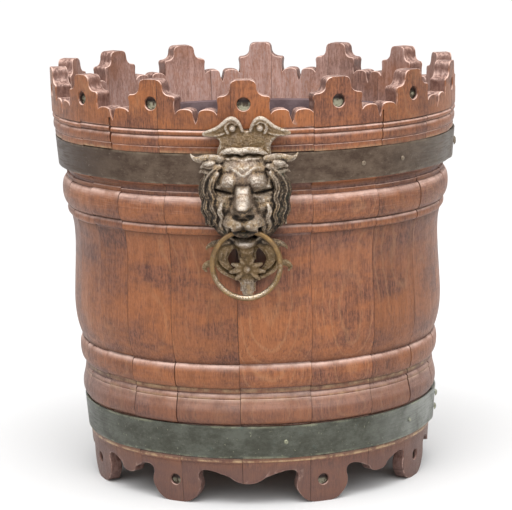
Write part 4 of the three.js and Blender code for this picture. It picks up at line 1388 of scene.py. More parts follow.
    def mark(self, piece: Piece, index: int, span: Pair) -> None:
        """Stores what the finish needs to know at each vertex of a stave.

        Args:
            piece: The sawn stave.
            index: Number of the stave, from 0.
            span: Angles of its two joints.
        """
        chance = random.Random(900 + index)
        marks = self.marks
        points = points_of(piece) / MM
        degrees = np.degrees(np.arctan2(points[:, 0], -points[:, 1]))
        away = (degrees - (span[0] + span[1]) / 2 + 180) % 360 - 180
        radius = np.hypot(points[:, 0], points[:, 1])
        z = points[:, 2]
        heights, outline, smoothed = self.wall.levels()
        outer = np.interp(z, heights, outline)
        inner = self.wall.inner(0) + (self.wall.inner(1) - self.wall.inner(0)) * z
        under = np.clip((outer - radius) / (outer - inner), 0, 1)
        skin = under < marks.skin
        along = np.radians(away) * self.mean_radius
        grain = np.stack([along, radius, z], 1) + np.array(self.grain_apart) * index
        store(piece, "grain", grain * MM)
        pith = chance.choice((-1, 1)) * chance.uniform(0, self.pith_aside)
        heart = chance.uniform(*self.heart_depth)
        slope = chance.choice((-1, 1)) * chance.uniform(*self.fibre_slope)
        log = np.stack([along - pith, self.log_radius - radius + heart, z * slope], 1)
        store(piece, "log", log * MM)
        # Recesses of the mouldings get grimy wax and painted shade
        sunken = np.interp(z, heights, smoothed) - outer
        hollow_grime_and_shade = np.clip(sunken / marks.hollow_depth * marks.grime_and_shade_by_height(z), 0, 1) * skin
        sawn_zone = (z > self.wall.crown_bottom + 0.5) | (z < self.wall.apron_top - 1.0)
        depth = np.minimum(outer - radius, radius - inner)
        rise = self.over_plug(degrees, radius, z)
        wear = sawn_zone & (depth > marks.edge_from) & (depth < marks.edge_share * self.worn_edge) & np.isinf(rise)
        drilled = (outer - radius > self.foot_hole_depth - 1.0) & (outer - radius < self.tooth_hole_depth + 0.2)
        # The plug share falls with height over the hole's middle, as painted shadow under the hole's upper rim, and
        # more at the feet
        tone = np.clip(0.8 - 0.12 * rise, 0.15, 1.0) * np.where(z < self.wall.apron_top, marks.foot_plug_tone, 1.0)
        store(piece, "marks", np.stack([hollow_grime_and_shade, wear * 1.0, (np.isfinite(rise) & drilled) * tone], 1))
        joint = np.radians((span[1] - span[0]) / 2 - np.abs(away)) * radius
        # Crest lines of the mouldings get a painted highlight along with their rubbed wear
        lit_worn_crests = np.clip(-sunken / marks.crest_height, 0, 1)
        rub_and_crest_highlight = np.maximum.reduce([lit_worn_crests, marks.lines(z, marks.rubbed_lines), marks.fade(z, marks.crown_fade)])
        store(piece, "wall", np.stack([under, joint, rub_and_crest_highlight], 1))
        foot = marks.fade(z, marks.foot_fade) + marks.fade(z, marks.damp_fade) * (z > marks.damp_bottom)
        store(piece, "turned", marks.lathe(z) * skin)
        tone = np.full(len(z), chance.uniform(-self.tone_spread, self.tone_spread))
        chalk = np.clip(marks.lines(z, marks.chalk_lines), 0, 1) * skin
        store(piece, "tone", np.stack([tone, foot, chalk], 1))

    def over_plug(self, degrees: np.ndarray, radius: np.ndarray, z: np.ndarray) -> np.ndarray:
        """Finds the vertices at the plugged holes.

        Args:
            degrees: Angle of each vertex.
            radius: Radius of each vertex.
            z: Height of each vertex.

        Returns:
            Height over the middle of the hole that a vertex is at, or infinity away from the holes.
        """
        top = self.wall.height - self.tooth_hole_drop
        centres = [(tooth * 360 / self.teeth, top) for tooth in range(self.teeth)]
        centres += [(foot, self.foot_hole_height) for foot in self.feet_at]
        rise = np.full(len(z), np.inf)
        for at_degrees, at_z in centres:
            beside = np.radians((degrees - at_degrees + 180) % 360 - 180) * radius
            rise = np.where(np.hypot(beside, z - at_z) < self.marks.plug_reach, z - at_z, rise)
        return rise

    def build(self) -> None:
        """Makes, dresses and places all the staves."""
        cutters: list[tuple[float, float, Piece]] = []
        pitch = 360 / self.teeth
        for tooth in range(self.teeth):
            cutters.append((tooth * pitch, (tooth + 1) * pitch, self.notch(tooth)))
            middle, z = tooth * pitch, self.wall.height - self.tooth_hole_drop
            hole = self.bore(f"tooth_hole_{tooth}", middle, z, self.tooth_hole, self.tooth_hole_depth, True)
            cutters.append((middle - self.hole_reach, middle + self.hole_reach, hole))
        for i, foot in enumerate(self.feet_at):
            following = self.feet_at[(i + 1) % len(self.feet_at)] + (360 if i + 1 == len(self.feet_at) else 0)
            cutters.append((foot, following, self.arch(foot, following)))
            hole = self.bore(f"foot_hole_{i}", foot, self.foot_hole_height, self.foot_hole, self.foot_hole_depth, False)
            cutters.append((foot - self.hole_reach, foot + self.hole_reach, hole))
        for i, crack in enumerate(self.cracks):
            reach = self.crack_reach
            cutters.append((crack.degrees - reach, crack.degrees + reach, self.opened(i, crack)))
        material = OakFinish().make(self.effects)
        for index, span in enumerate(self.spans()):
            piece = self.blank(index, span, random.Random(70 + index))
            near = [
                body
                for low, high, body in cutters
                if any(low + turn < span[1] and high + turn > span[0] for turn in (-360, 0, 360))
            ]
            cut(piece, near)
            self.mark(piece, index, span)
            shade(piece, 40)
            apply_modifier(piece, "WEIGHTED_NORMAL", keep_sharp=True)
            place(piece, Body.BUCKET, "stave_oak", material, f"stave_{index + 1:02d}")
        discard([body for _, _, body in cutters])


# ---- Bands


@dataclass(frozen=True)
class Pin:
    """A nail or a rivet of a band: its node, place and sizes."""

    node: str
    degrees: float
    z: float
    head: float
    rise: float
    shank: float
    length: float
    on_lap: bool


@dataclass
class Band:
    """A strip of sheet brass bent round the bucket and lapped at the right."""

    wall: Wall
    node: str
    bottom: float
    top: float
    slot: str
    pins: tuple[Pin, ...]
    seed: int
    clearance: float = 0.9
    seat: float = 0.7
    thickness: float = 1.6
    lap_at: float = 88.0
    lap_length: float = 34.0
    lap_room: float = 0.3
    step_degrees: float = 2.0
    wave_size: float = 0.35
    bend_waves: tuple[int, ...] = (3, 5, 8, 13)
    edge_waves: tuple[int, ...] = (2, 7, 11)
    corner: float = 0.45
    pin_corners: int = 16
    mean_radius: float = 185.0
    pattern_apart: float = 50.0
    rim_width: float = 1.2

    def radius(self, z: float) -> float:
        """Gives the inside radius of the strip at a height."""
        return self.wall.straight(z) - self.seat + self.clearance

    def wave(self, degrees: float, size: float, turns: Sequence[int]) -> float:
        """Gives the small bend of the sheet at an angle.

        Args:
            degrees: The angle.
            size: Greatest bend.
            turns: Number of waves round the bucket, for each of the waves that add up.

        Returns:
            The bend.
        """
        chance = random.Random(self.seed)
        waves = [(n, chance.uniform(0, 6.28)) for n in turns]
        return size * sum(math.sin(math.radians(degrees) * n + phase) for n, phase in waves) / len(waves)

    def strip(self) -> Piece:
        """Bends the strip, section by section.

        Returns:
            The strip as one closed solid.
        """
        lap = math.degrees(self.lap_length / self.radius(self.bottom))
        first, last = self.lap_at - lap / 2, self.lap_at + 360 + lap / 2
        steps = round((last - first) / self.step_degrees)
        t, low, high, ease = self.thickness, self.bottom, self.top, self.corner
        outline = [(0, low), (0, high), (t - ease, high), (t - 0.12, high - 0.15), (t, high - ease), (t, high - 2.6)]
        outline += [(t, low + 2.6), (t, low + ease), (t - 0.12, low + 0.15), (t - ease, low)]
        sections = []
        for i in range(steps + 1):
            degrees = first + (last - first) * i / steps
            climb = min(1.0, max(0.0, (degrees - (last - 1.5 * lap)) / (0.5 * lap)))
            lift = (t + self.lap_room) * climb * climb * (3 - 2 * climb)
            bend = self.wave(degrees, self.wave_size, self.bend_waves) * (1 - climb)
            edge = self.wave(degrees + 40, self.wave_size, self.edge_waves) * (1 - climb)
            sections.append([at(degrees, self.radius(z) + out + lift + bend, z + edge) for out, z in outline])
        return loft(f"{self.node}_sheet", sections)

    def pin_body(self, pin: Pin) -> Piece:
        """Makes a nail or a rivet with a domed head.

        Args:
            pin: The nail or rivet.

        Returns:
            The solid.
        """
        lift = self.thickness + self.lap_room if pin.on_lap else 0.0
        seat = self.radius(pin.z) + self.thickness + lift + 0.3
        rings = [(0.05, -pin.length), (pin.shank / 2, -pin.length + 1.5), (pin.shank / 2, 0.0), (pin.head / 2, 0.02)]
        rings += [(pin.head / 2 * math.cos(a), pin.rise * math.sin(a)) for a in (0.25, 0.55, 0.85, 1.15, 1.4, 1.55)]
        sections = []
        for size, out in rings:
            row = []
            for k in range(self.pin_corners):
                angle = 2 * math.pi * k / self.pin_corners
                side = math.degrees(size * math.cos(angle) / (seat + out))
                row.append(at(pin.degrees + side, seat + out, pin.z + size * math.sin(angle)))
            sections.append(row)
        return loft(f"{pin.node}_head", sections)

    @staticmethod
    def flank(degrees: np.ndarray, start: float) -> np.ndarray:
        """Gives how near each angle is to the right side of the bucket, from a start behind the mask."""
        return ramp(degrees, start, 30) * ramp(degrees, 150, -40)

    def mark(self, piece: Piece, pin: float = 0.0) -> None:
        """Stores the place along the strip, the side of the bucket, the strip's edges and the pins.

        Args:
            piece: The strip, or a nail or rivet.
            pin: 1 for a nail or rivet.
        """
        points = points_of(piece) / MM
        degrees = np.degrees(np.arctan2(points[:, 0], -points[:, 1]))
        along = np.radians(degrees) * self.mean_radius
        radius = np.hypot(points[:, 0], points[:, 1]) + self.pattern_apart * self.seed
        store(piece, "strip", np.stack([along, radius, points[:, 2]], 1) * MM)
        right = self.flank(degrees, 38) - self.flank(-degrees, 28)
        middle, half = (self.top + self.bottom) / 2, (self.top - self.bottom) / 2
        rim = (np.abs(points[:, 2] - middle) > half - self.rim_width).astype(float)
        store(piece, "strip_marks", np.stack([right, rim, np.full(len(rim), pin)], 1))

    def build(self, material: Material) -> None:
        """Makes, dresses and places the strip and its pins.

        Args:
            material: Their material.
        """
        strip = self.strip()
        self.mark(strip)
        shade(strip, 35)
        place(strip, Body.BUCKET, self.slot, material, self.node)
        for pin in self.pins:
            body = self.pin_body(pin)
            self.mark(body, 1.0)
            shade(body, 50)
            place(body, Body.BUCKET, self.slot, material, pin.node)


@dataclass
class Bands:
    """Both bands with their nails and rivets."""

    wall: Wall
    effects: Effects
    nail: tuple[float, float, float, float] = (4.6, 1.3, 2.0, 8.0)
    rivet: tuple[float, float, float, float] = (7.0, 2.2, 3.0, 9.0)
    rivet_spacing: float = 14.0

    def pins(self, node: str, middle: float, nails: Sequence[float], rivets: Sequence[Pair]) -> tuple[Pin, ...]:
        """Lists the pins of a band.

        Args:
            node: Name of the band's node.
            middle: Height of its middle.
            nails: Angles of the nails.
            rivets: Angle and height of each rivet.

        Returns:
            The pins.
        """
        made = [Pin(f"{node}_nail_{i + 1}", a, middle, *self.nail, False) for i, a in enumerate(nails)]
        made += [Pin(f"{node}_rivet_{i + 1}", a, z, *self.rivet, True) for i, (a, z) in enumerate(rivets)]
        return tuple(made)

    def build(self) -> None:
        """Makes both bands."""
        upper_bottom, upper_top, lower_bottom, lower_top = 309.7, 338.3, 46.7, 78.1
        upper_middle, lower_middle = (upper_bottom + upper_top) / 2, (lower_bottom + lower_top) / 2
        half = self.rivet_spacing / 2
        aside = math.degrees(half / (self.wall.straight(upper_bottom) + 0.2))
        upper_pins = self.pins(
            "upper_band", upper_middle, (33.6, 47.7), ((88 - aside, upper_middle), (88 + aside, upper_middle))
        )
        lower_pins = self.pins(
            "lower_band", lower_middle, (10.5, 59.0), ((88, lower_middle + half), (88, lower_middle - half))
        )
        upper = SheetBrassFinish(
            name="dark sheet brass",
            base=paint(61, 44, 32),
            cloud=paint(98, 82, 68),
            stain=paint(68, 66, 53),
            speck=paint(140, 126, 108),
            far=paint(94, 86, 76),
            far_amount=0.7,
            left_amount=0.9,
            spread=0.03,
        )
        lower = SheetBrassFinish(
            name="verdigris sheet brass",
            base=paint(60, 60, 51),
            cloud=paint(87, 89, 80),
            stain=paint(82, 100, 94),
            speck=paint(158, 158, 132),
            far=paint(144, 146, 140),
            far_amount=0.85,
            left_amount=0.0,
            spread=0.08,
        )
        Band(self.wall, "upper_band", upper_bottom, upper_top, "upper_band_brass", upper_pins, 3).build(
            upper.make(self.effects)
        )
        Band(self.wall, "lower_band", lower_bottom, lower_top, "lower_band_brass", lower_pins, 8).build(
            lower.make(self.effects)
        )


# ---- Lion masks and rings


@dataclass(frozen=True)
class Swell:
    """A rounded form of the face: its middle, half width, half height and rise."""

    x: float
    up: float
    wide: float
    high: float
    rise: float
    turn: float = 0.0
    firm: float = 2.0
    pair: bool = False


@dataclass(frozen=True)
class Line:
    """A raised or sunk line of the face."""

    path: tuple[Pair, ...]
    width: float
    rise: float
    pair: bool = False


@dataclass(frozen=True)
class Strand:
    """A tapering bar of the casting: points with side, height over the mouth, front and radius."""

    path: tuple[tuple[float, float, float, float], ...]
    flat: float = 1.0
    pair: bool = True


@dataclass
class LionMask:
    """The cast mask: a modelled face, mane, ears, two-scroll crown and pierced tail plate."""

    effects: Effects
    mouth: float = 270.0
    back_at_mouth: float = 191.16
    lean: float = 0.0891
    bar_front: float = 19.3
    bore: float = 12.8
    ring_radius: float = 31.0
    ring_play: float = 3.5
    play_top: float = 5.0
    voxel: float = 0.73
    crown_shift: float = 2.6
    face_shift: float = -1.2
    grid: int = 130
    bit_length: float = 120.0
    bar_corners: int = 12
    lock_corners: int = 30
    lock_ridges: int = 6
    ridge_height: float = 0.17
    ridge_twist: float = 0.16
    relief_rounds: tuple[Pair, ...] = ((5, 0.31), (30, 1.65))
    swells: tuple[Swell, ...] = (
        Swell(0, 55, 18, 13, 6.5),
        Swell(13.6, 46.6, 7, 6.2, 7.5, firm=3.2, pair=True),
        Swell(22.5, 43, 4.6, 3.6, 2.4, turn=-8, pair=True),
        Swell(17.5, 37, 8.5, 3.2, -2.4, turn=6, pair=True),
        Swell(17.5, 32.6, 7.5, 3, 1.6, pair=True),
        Swell(20.5, 25, 7.5, 8, 5.5, pair=True),
        Swell(26.5, 36, 5, 12, 2, pair=True),
        Swell(0, 32.4, 6.8, 9.2, 10.5, firm=7),
        Swell(0, 23.5, 7.8, 9, 16.5, firm=3.4),
        Swell(0, 19.8, 8.6, 5.6, 7, firm=3),
        Swell(8.6, 20.2, 3.6, 3.4, 5.5, pair=True),
        Swell(4.8, 16.4, 2.2, 1.5, -5, pair=True),
        Swell(9, 8.4, 9.4, 8.2, 15, firm=3.4, pair=True),
        Swell(0, 9, 6, 6, 4),
        Swell(0, -13.4, 9.2, 4.2, 10, firm=4),
        Swell(13.5, -2, 4.5, 6, 4.5, pair=True),
    )
    lines: tuple[Line, ...] = (
        Line(((-11, 56.6), (-6, 53.4), (-3, 50.6), (0, 49.8), (3, 50.6), (6, 53.4), (11, 56.6)), 1.5, -0.6),
        Line(((-11, 59.4), (-6, 56), (-2.4, 53.4), (2.4, 53.4), (6, 56), (11, 59.4)), 1.7, 0.4),
        Line(((-8, 60.4), (-3.6, 57.4), (0, 54.8), (3.6, 57.4), (8, 60.4)), 0.9, -0.6),
        Line(((-4.6, 62), (0, 58), (4.6, 62)), 1.3, 0.4),
        Line(((12, 55.4), (18, 54), (21.4, 49.4), (21.6, 44)), 1.5, -1.6, True),
        Line(((10.6, 47.6), (13.2, 49.4), (16.4, 48)), 1, -0.9, True),
        Line(((10.4, 44.4), (13.8, 45.6), (17.6, 44.2)), 1, -0.9, True),
        Line(((-15, 65), (-10, 66.4), (-5, 64.8)), 1.2, -0.9),
        Line(((15, 64), (10, 66), (5, 65.2)), 1.2, -0.9),
        Line(((6.6, 44), (7.6, 40), (8.8, 36.2)), 1.3, -1.4, True),
        Line(((25, 40.6), (18.5, 39.6), (12.5, 38.2)), 1.6, 1, True),
        Line(((25.8, 38.4), (21, 37.2), (16.5, 36.2), (11.6, 35.6)), 0.9, -4.6, True),
        Line(((25, 33.6), (18.5, 31.6), (12, 30.4)), 1.1, -0.7, True),
        Line(((24, 28.6), (19, 26.6), (14, 25.6)), 1.2, -0.5, True),
        Line(((10.6, 31), (11.4, 25), (13.2, 19.5), (17.4, 14)), 1.4, -0.9, True),
        Line(((-9, 14.8), (-5, 13.4), (0, 13), (5, 13.4), (9, 14.8)), 1.1, -2.4),
        Line(((0, 13), (0, 4)), 2.4, -2.2),
        Line(((5, 9.2), (10, 8.4), (15, 9.4)), 0.9, -0.5, True),
        Line(((-9, -4.4), (-3, -3.6), (3, -3.6), (9, -4.4)), 2.7, -24),
        Line(((-19, 70), (-13, 69), (-8, 70.4), (-2, 68.6), (4, 70.2), (10, 69.2), (18, 70)), 1, -7),
        Line(((-16, 67.4), (-14, 66.6)), 1.1, 1.4),
        Line(((-11, 67.6), (-8, 67)), 1.1, 1.6),
        Line(((-5, 66.6), (-1, 66.2)), 1.1, 1.3),
        Line(((2, 67), (6, 66.8)), 1.1, 1.5),
        Line(((9, 67), (13, 66.8)), 1.1, 1.4),
        Line(((22.5, 62), (20, 56), (22, 50)), 1.2, -2.2, True),
        Line(((28, 52), (26, 44), (28, 36), (26, 28)), 1.1, -2.2, True),
    )
    half_widths: tuple[Pair, ...] = (
        (-17.5, 8.5), (-15, 11.5), (-12, 15.5), (-7, 23), (-2, 27.5), (4, 31), (10, 33.5), (18, 35.5), (32, 38.5),
        (50, 35.5), (63, 29), (70, 23), (76, 20.5),
    )
    locks: tuple[Strand, ...] = (
        Strand(((22, 60, 19, 2.4), (29.5, 54, 18, 3.1), (34.5, 46, 14, 3.3), (36.5, 37, 12.5, 3.1),
            (33.8, 29, 12, 3.1), (35.2, 21, 11.5, 3), (32, 13, 10.5, 2.7), (33, 7, 8.5, 2.2), (30.5, 2, 7.5, 1.2))),
        Strand(((24, 54, 22, 2), (28.5, 47, 20, 2.9), (30, 39, 18, 2.9), (27.4, 31, 17.5, 2.9),
            (29.2, 23, 16.5, 2.9), (26, 15, 15, 2.7), (27.2, 8, 12.5, 2.4), (24, 2.5, 10.5, 1.8),
            (24.8, -1.5, 8.5, 1))),
        Strand(((35, 51, 9, 1.6), (38.7, 43, 8, 2.7), (39.2, 34, 7.5, 2.9), (37.2, 26, 7, 2.7),
            (38.6, 18, 6.5, 2.5), (35.4, 10.5, 6, 2.1), (36.2, 4, 5, 1.2))),
        Strand(((20.5, 26, 24, 1.6), (22.5, 19, 23, 2.4), (20, 12, 20.5, 2.5), (21.8, 5, 16.5, 2.4),
            (18.8, -1, 12.5, 2), (19.8, -6, 8.5, 1.2))),
        Strand(((16.4, 13, 22, 1.4), (17.4, 6, 19, 2), (15.9, 0, 16, 2), (17.4, -6.5, 12, 1.9),
            (20.5, -10.5, 9.5, 1.4))),
        Strand(((26, 50, 21, 1), (32, 42, 17, 1.6), (33.2, 34, 15.6, 1.6), (30.8, 26, 15.4, 1.5),
            (32.2, 18, 14, 1.5), (29.4, 11, 12.6, 1.3), (29.4, 4.5, 10, 0.9))),
    )
    strands: tuple[Strand, ...] = (
        Strand(((20, 66, 16, 3.4), (27, 66.5, 16, 4.6), (35, 66.5, 13.5, 4.2), (42, 65.6, 11, 3),
            (46, 67, 9.5, 1.9), (48.6, 70.5, 9, 0.9)), 0.75),
        Strand(((24, 60.5, 19, 2), (30, 59.5, 18, 2.8), (35.5, 60.5, 15, 2.2), (39, 59, 13, 1.3))),
        Strand(((27.5, 63.2, 19.5, 2.2), (32, 62.8, 19.5, 2.7), (36.5, 62.2, 16.5, 1.6))),
        Strand(((27, 56, 20, 1.6), (33, 54, 17, 2.2), (38, 55.5, 12.5, 1.7), (41, 53.5, 10, 0.9))),
        # Crown: the raised edge of each scroll, its wing, the coil of its eye, and the border of the stem
        Strand(((3.6, 91.2, 10, 1.3), (5.6, 96.6, 11.4, 1.7), (8.8, 101.2, 12.6, 2), (13.2, 103.1, 13.2, 2.2),
            (18, 101, 13, 2), (23.4, 96.3, 11.8, 1.8), (29.8, 92.8, 10.6, 1.6), (36.8, 90.6, 9.2, 1.2)), 1.2),
        Strand(((15.5, 97.5, 8.4, 3), (21.6, 94.2, 8.8, 3.5), (27.6, 91.4, 8.4, 3.3), (33.2, 89.4, 7.8, 2.9),
            (38.4, 88.6, 7.4, 2.3)), 0.9),
        Strand(((16.4, 89, 10.6, 1.3), (18.6, 94.4, 12.2, 1.5), (17, 98.6, 12.8, 1.5), (12.6, 100, 12.8, 1.4),
            (8.4, 97.4, 12, 1.3))),
        Strand(((18.4, 90.2, 9.6, 1.1), (24.6, 88, 10, 1.4), (31, 87.2, 9.2, 1.3), (36.4, 87.4, 8.4, 1))),
        Strand(((12.4, 94, 9, 3.8), (12.4, 93.8, 12.8, 2.9)), 1),
        Strand(((22.6, 70, 6.6, 2.2), (21.6, 77, 6.8, 2.1), (22.8, 82.5, 6.8, 2), (26.8, 86.2, 6.4, 1.7)), 0.9),
        # Tail: side leaves inside the ring, and the curled tips outside it
        Strand(((10, -12.5, 8, 2.6), (15.5, -16, 7.4, 4.4), (20.4, -22, 6.6, 4.8), (21.8, -29, 5.8, 4.5),
            (18.5, -35, 5.2, 3.4), (14, -38.5, 4.8, 1.8)), 0.55),
        Strand(((15, -17, 8.8, 1), (19.6, -23.5, 8.4, 1.2), (20, -30.5, 7.2, 1)), 1),
        Strand(((16, -11, 9, 3), (24, -12.5, 7.5, 3.6), (31, -14, 6.5, 2.8), (36, -17, 5.5, 1.6),
            (37, -19.5, 5, 0.8)), 0.8),
        Strand(((22, -16, 4, 3.2), (27, -24, 3.6, 3), (30, -31, 4, 2.8), (36, -33, 4.4, 3.2),
            (40, -36.5, 4.2, 2), (37.6, -40, 4, 1.2)), 0.75),
        Strand(((29, -32, 3.6, 2.2), (24, -40, 3.4, 2), (15, -45, 3.6, 2), (7, -48, 4, 2.2)), 0.7),
        # Rosette on the post
        Strand(((2, -37, 8, 2.4), (8, -34.5, 8.4, 2.8), (13.5, -33, 6.8, 1.6)), 0.8),
        Strand(((2, -38, 8, 2.4), (9, -39, 8.4, 2.9), (15.5, -40.5, 6.6, 1.7)), 0.8),
        Strand(((2, -39, 8, 2.4), (7, -43.5, 8.2, 2.6), (10.5, -47.5, 6.6, 1.6)), 0.8),
        Strand(((1, -36, 8, 2.2), (4, -31.5, 8.6, 2.4), (5.6, -28, 7.6, 1.5)), 0.8),
    )
    middles: tuple[Strand, ...] = (
        Strand(((-21, 70.5, 13.5, 1.8), (-17, 73.2, 16, 2.6), (-11, 74.4, 17.6, 3.1), (-4, 73.8, 18.4, 2.9),
            (3, 74.8, 18.4, 3.1), (10, 74.2, 17.4, 2.9), (16, 72.6, 15.8, 2.5), (20.5, 70, 13.5, 1.7)), 0.8, False),
        Strand(((-11.5, 3.6, 27.6, 1.7), (-7.5, -0.8, 29, 2.6), (-1, -1.7, 29.4, 2.8), (5.5, -0.8, 29, 2.6),
            (9.5, 3.6, 27.6, 1.7)), 1, False),
        Strand(((0, -12, 10, 6.2), (0, -21, 8.6, 6.6), (0, -24, 7, 5.8), (0, -46, 6, 6), (0, -57, 5.4, 5.8),
            (0, -60.6, 5, 5.4)), 0.5, False),
        Strand(((0, -37.5, 8.4, 5.6), (0, -37.5, 10.6, 3.4)), 1, False),
    )
    slabs: tuple[tuple[tuple[Pair, ...], float], ...] = (
        (((0, 68), (22.2, 68), (21.8, 76), (23.2, 81.5), (26.8, 85.6), (33, 86.6), (37, 87.8), (37, 89.8), (30, 92),
          (24, 95.5), (18.5, 101), (13.4, 102.8), (9, 101), (5.6, 96.4), (3.6, 91.6), (0, 90.8)), 9.2),
        (((0, -12), (9, -12), (17, -12), (28, -15), (31, -18), (25, -22), (29, -31), (24, -39), (12, -45), (7, -52),
          (7, -60), (0, -60), (0, -50), (8.5, -41), (15.5, -38), (19, -29), (18, -22), (10, -19), (8.2, -24),
          (8.2, -30), (0, -30)), 2.4),
    )

    def back(self, up: float) -> float:
        """Gives the distance of the flat back from the axis, at a height over the mouth."""
        return self.back_at_mouth + self.lean * up

    def spot(self, x: float, up: float, front: float) -> Vector:
        """Gives a point of the casting in metres.

        Args:
            x: Distance to the right.
            up: Height over the mouth.
            front: Distance in front of the back.

        Returns:
            The point.
        """
        shift = self.crown_shift * min(1.0, max(0.0, (up - 75) / 8))
        return Vector((x + shift, -(self.back(up) + front), self.mouth + up)) * MM

    def rear(self, x: float, up: float) -> float:
        """Gives how far behind the flat back the wall lies at a place, as a front value."""
        back = self.back(up)
        return math.sqrt(max(0.0, back * back - x * x)) - back + 0.5

    def face(self, x: np.ndarray, up: np.ndarray, share: np.ndarray) -> np.ndarray:
        """Models the relief of the face.

        Args:
            x: Places to the right.
            up: Heights over the mouth.
            share: Distance from the middle line as a share of the half width.

        Returns:
            Distance in front of the back at each place.
        """
        reach = np.minimum(np.abs(x), self.ring_radius)
        sag = self.ring_radius - np.sqrt(self.ring_radius**2 - reach**2)
        swept = (up < self.play_top) & (reach > self.bore - 1)
        x = x - self.face_shift * ramp(up, 64, -20)
        height = 6.0 + 17.0 * (1 - np.abs(share) ** 2.3) * (0.55 + 0.45 * ramp(up, 76, -16))
        height *= 0.45 + 0.55 * ramp(up, -17, 16)
        for form in self.swells:
            for side in (-1, 1) if form.pair else (1,):
                angle = math.radians(form.turn) * side
                dx, du = x - form.x * side, up - form.up
                along = dx * math.cos(angle) + du * math.sin(angle)
                across = -dx * math.sin(angle) + du * math.cos(angle)
                away = (along / form.wide) ** 2 + (across / form.high) ** 2
                if form.firm > 6:
                    away = np.sqrt((along / form.wide) ** 4 + (across / form.high) ** 4)
                height = height + form.rise * np.exp(-(away ** (form.firm / 2)))
        for line in self.lines:
            for side in (-1, 1) if line.pair else (1,):
                path = np.array(smooth_path([(px * side, pu) for px, pu in line.path], 5))
                away = np.full(x.shape, 1e9)
                for a, b in zip(path[:-1], path[1:]):
                    edge = b - a
                    t = np.clip(((x - a[0]) * edge[0] + (up - a[1]) * edge[1]) / (edge @ edge), 0, 1)
                    away = np.minimum(away, (x - a[0] - t * edge[0]) ** 2 + (up - a[1] - t * edge[1]) ** 2)
                height = height + line.rise * np.exp(-away / line.width**2)
        height = np.where(swept, np.minimum(height, self.bar_front - self.ring_play + sag), height)
        return np.maximum(height, 1.0)

    def head(self) -> Piece:
        """Models the head from a fine grid, closes it at the back and bores the mouth.

        Returns:
            The head.
        """
        bpy.ops.object.select_all(action="DESELECT")
        bpy.ops.mesh.primitive_grid_add(x_subdivisions=self.grid, y_subdivisions=self.grid, size=2.0)
        piece = bpy.context.object
        points = points_of(piece)
        low, high = self.half_widths[0][0], self.half_widths[-1][0]
        up = low + (points[:, 1] + 1) / 2 * (high - low)
        outline = np.array(smooth_path(self.half_widths, 6))
        half = np.interp(up, outline[:, 0], outline[:, 1])
        x = points[:, 0] * half
        front = self.face(x, up, points[:, 0])
        for vertex, px, pu, pf in zip(piece.data.vertices, x, up, front):
            vertex.co = self.spot(px, pu, pf)
        bpy.ops.object.mode_set(mode="EDIT")
        bpy.ops.mesh.select_all(action="SELECT")
        bpy.ops.mesh.extrude_region()
        mesh = bmesh.from_edit_mesh(piece.data)
        for vertex in mesh.verts:
            if vertex.select:
                px, pu = vertex.co.x / MM, vertex.co.z / MM - self.mouth
                vertex.co = self.spot(px, pu, self.rear(px, pu))
        leave_edit(piece)
        bpy.ops.object.select_all(action="DESELECT")
        bpy.ops.mesh.primitive_cylinder_add(
            vertices=32,
            radius=self.bore / 2 * MM,
            depth=self.bit_length * MM,
            location=self.spot(0, 0, self.bar_front),
            rotation=(0, math.pi / 2, 0),
        )
        bit = bpy.context.object
        cut(piece, [bit])
        discard([bit])
        return piece

    def bar(self, strand: Strand, side: int, ridges: float = 0.0) -> Piece:
        """Models a tapering bar with rounded ends.

        Args:
            strand: The bar.
            side: 1, or -1 for its mirror image.
            ridges: Height of the ridges along a lock of hair, as a share of its radius.

        Returns:
            The bar.
        """
        path = np.array(smooth_path(strand.path, 3))
        path[:, 0] *= side
        sections = []
        count = len(path)
        for i, (x, up, front, radius) in enumerate(path):
            ahead = path[min(i + 1, count - 1)] - path[max(i - 1, 0)]
            forward = Vector((ahead[0], ahead[1], ahead[2])).normalized()
            across = Vector((-forward.y, forward.x, 0.0))
            across = across.normalized() if across.length > 0.2 else Vector((1.0, 0.0, 0.0))
            deep = forward.cross(across)
            ends = ((0.0, 1.0),)
            if i == 0:
                ends = ((-0.85, 0.35), (-0.5, 0.8), (0.0, 1.0))
            elif i == count - 1:
                ends = ((0.0, 1.0), (0.5, 0.8), (0.85, 0.35))
            for reach, size in ends:
                row = []
                corners = self.lock_corners if ridges else self.bar_corners
                for k in range(corners):
                    angle = 2 * math.pi * k / corners
                    swell = 1 + ridges * math.cos(self.lock_ridges * angle + i * self.ridge_twist)
                    move = (across * math.cos(angle) + deep * math.sin(angle) * strand.flat) * swell
                    spot = Vector((x, up, front)) + (forward * reach + move * size) * radius
                    row.append(self.spot(spot.x, spot.y, max(spot.z, self.rear(spot.x, spot.y) + 0.2)))
                sections.append(row)
        return loft("bar", sections)

    def slab(self, outline: Sequence[Pair], front: float, side: int) -> Piece:
        """Models a flat part of the casting from an outline, down to the wall behind it.

        Args:
            outline: Distance to the right and height over the mouth of each corner.
            front: Distance of its face in front of the back.
            side: 1, or -1 for its mirror image.

        Returns:
            The solid.
        """
        places = [(x * side, up) for x, up in outline]
        near = [self.spot(x, up, front) for x, up in places]
        wall = [self.spot(x, up, self.rear(x, up)) for x, up in places]
        return loft("slab", [near, wall], triangles=True)

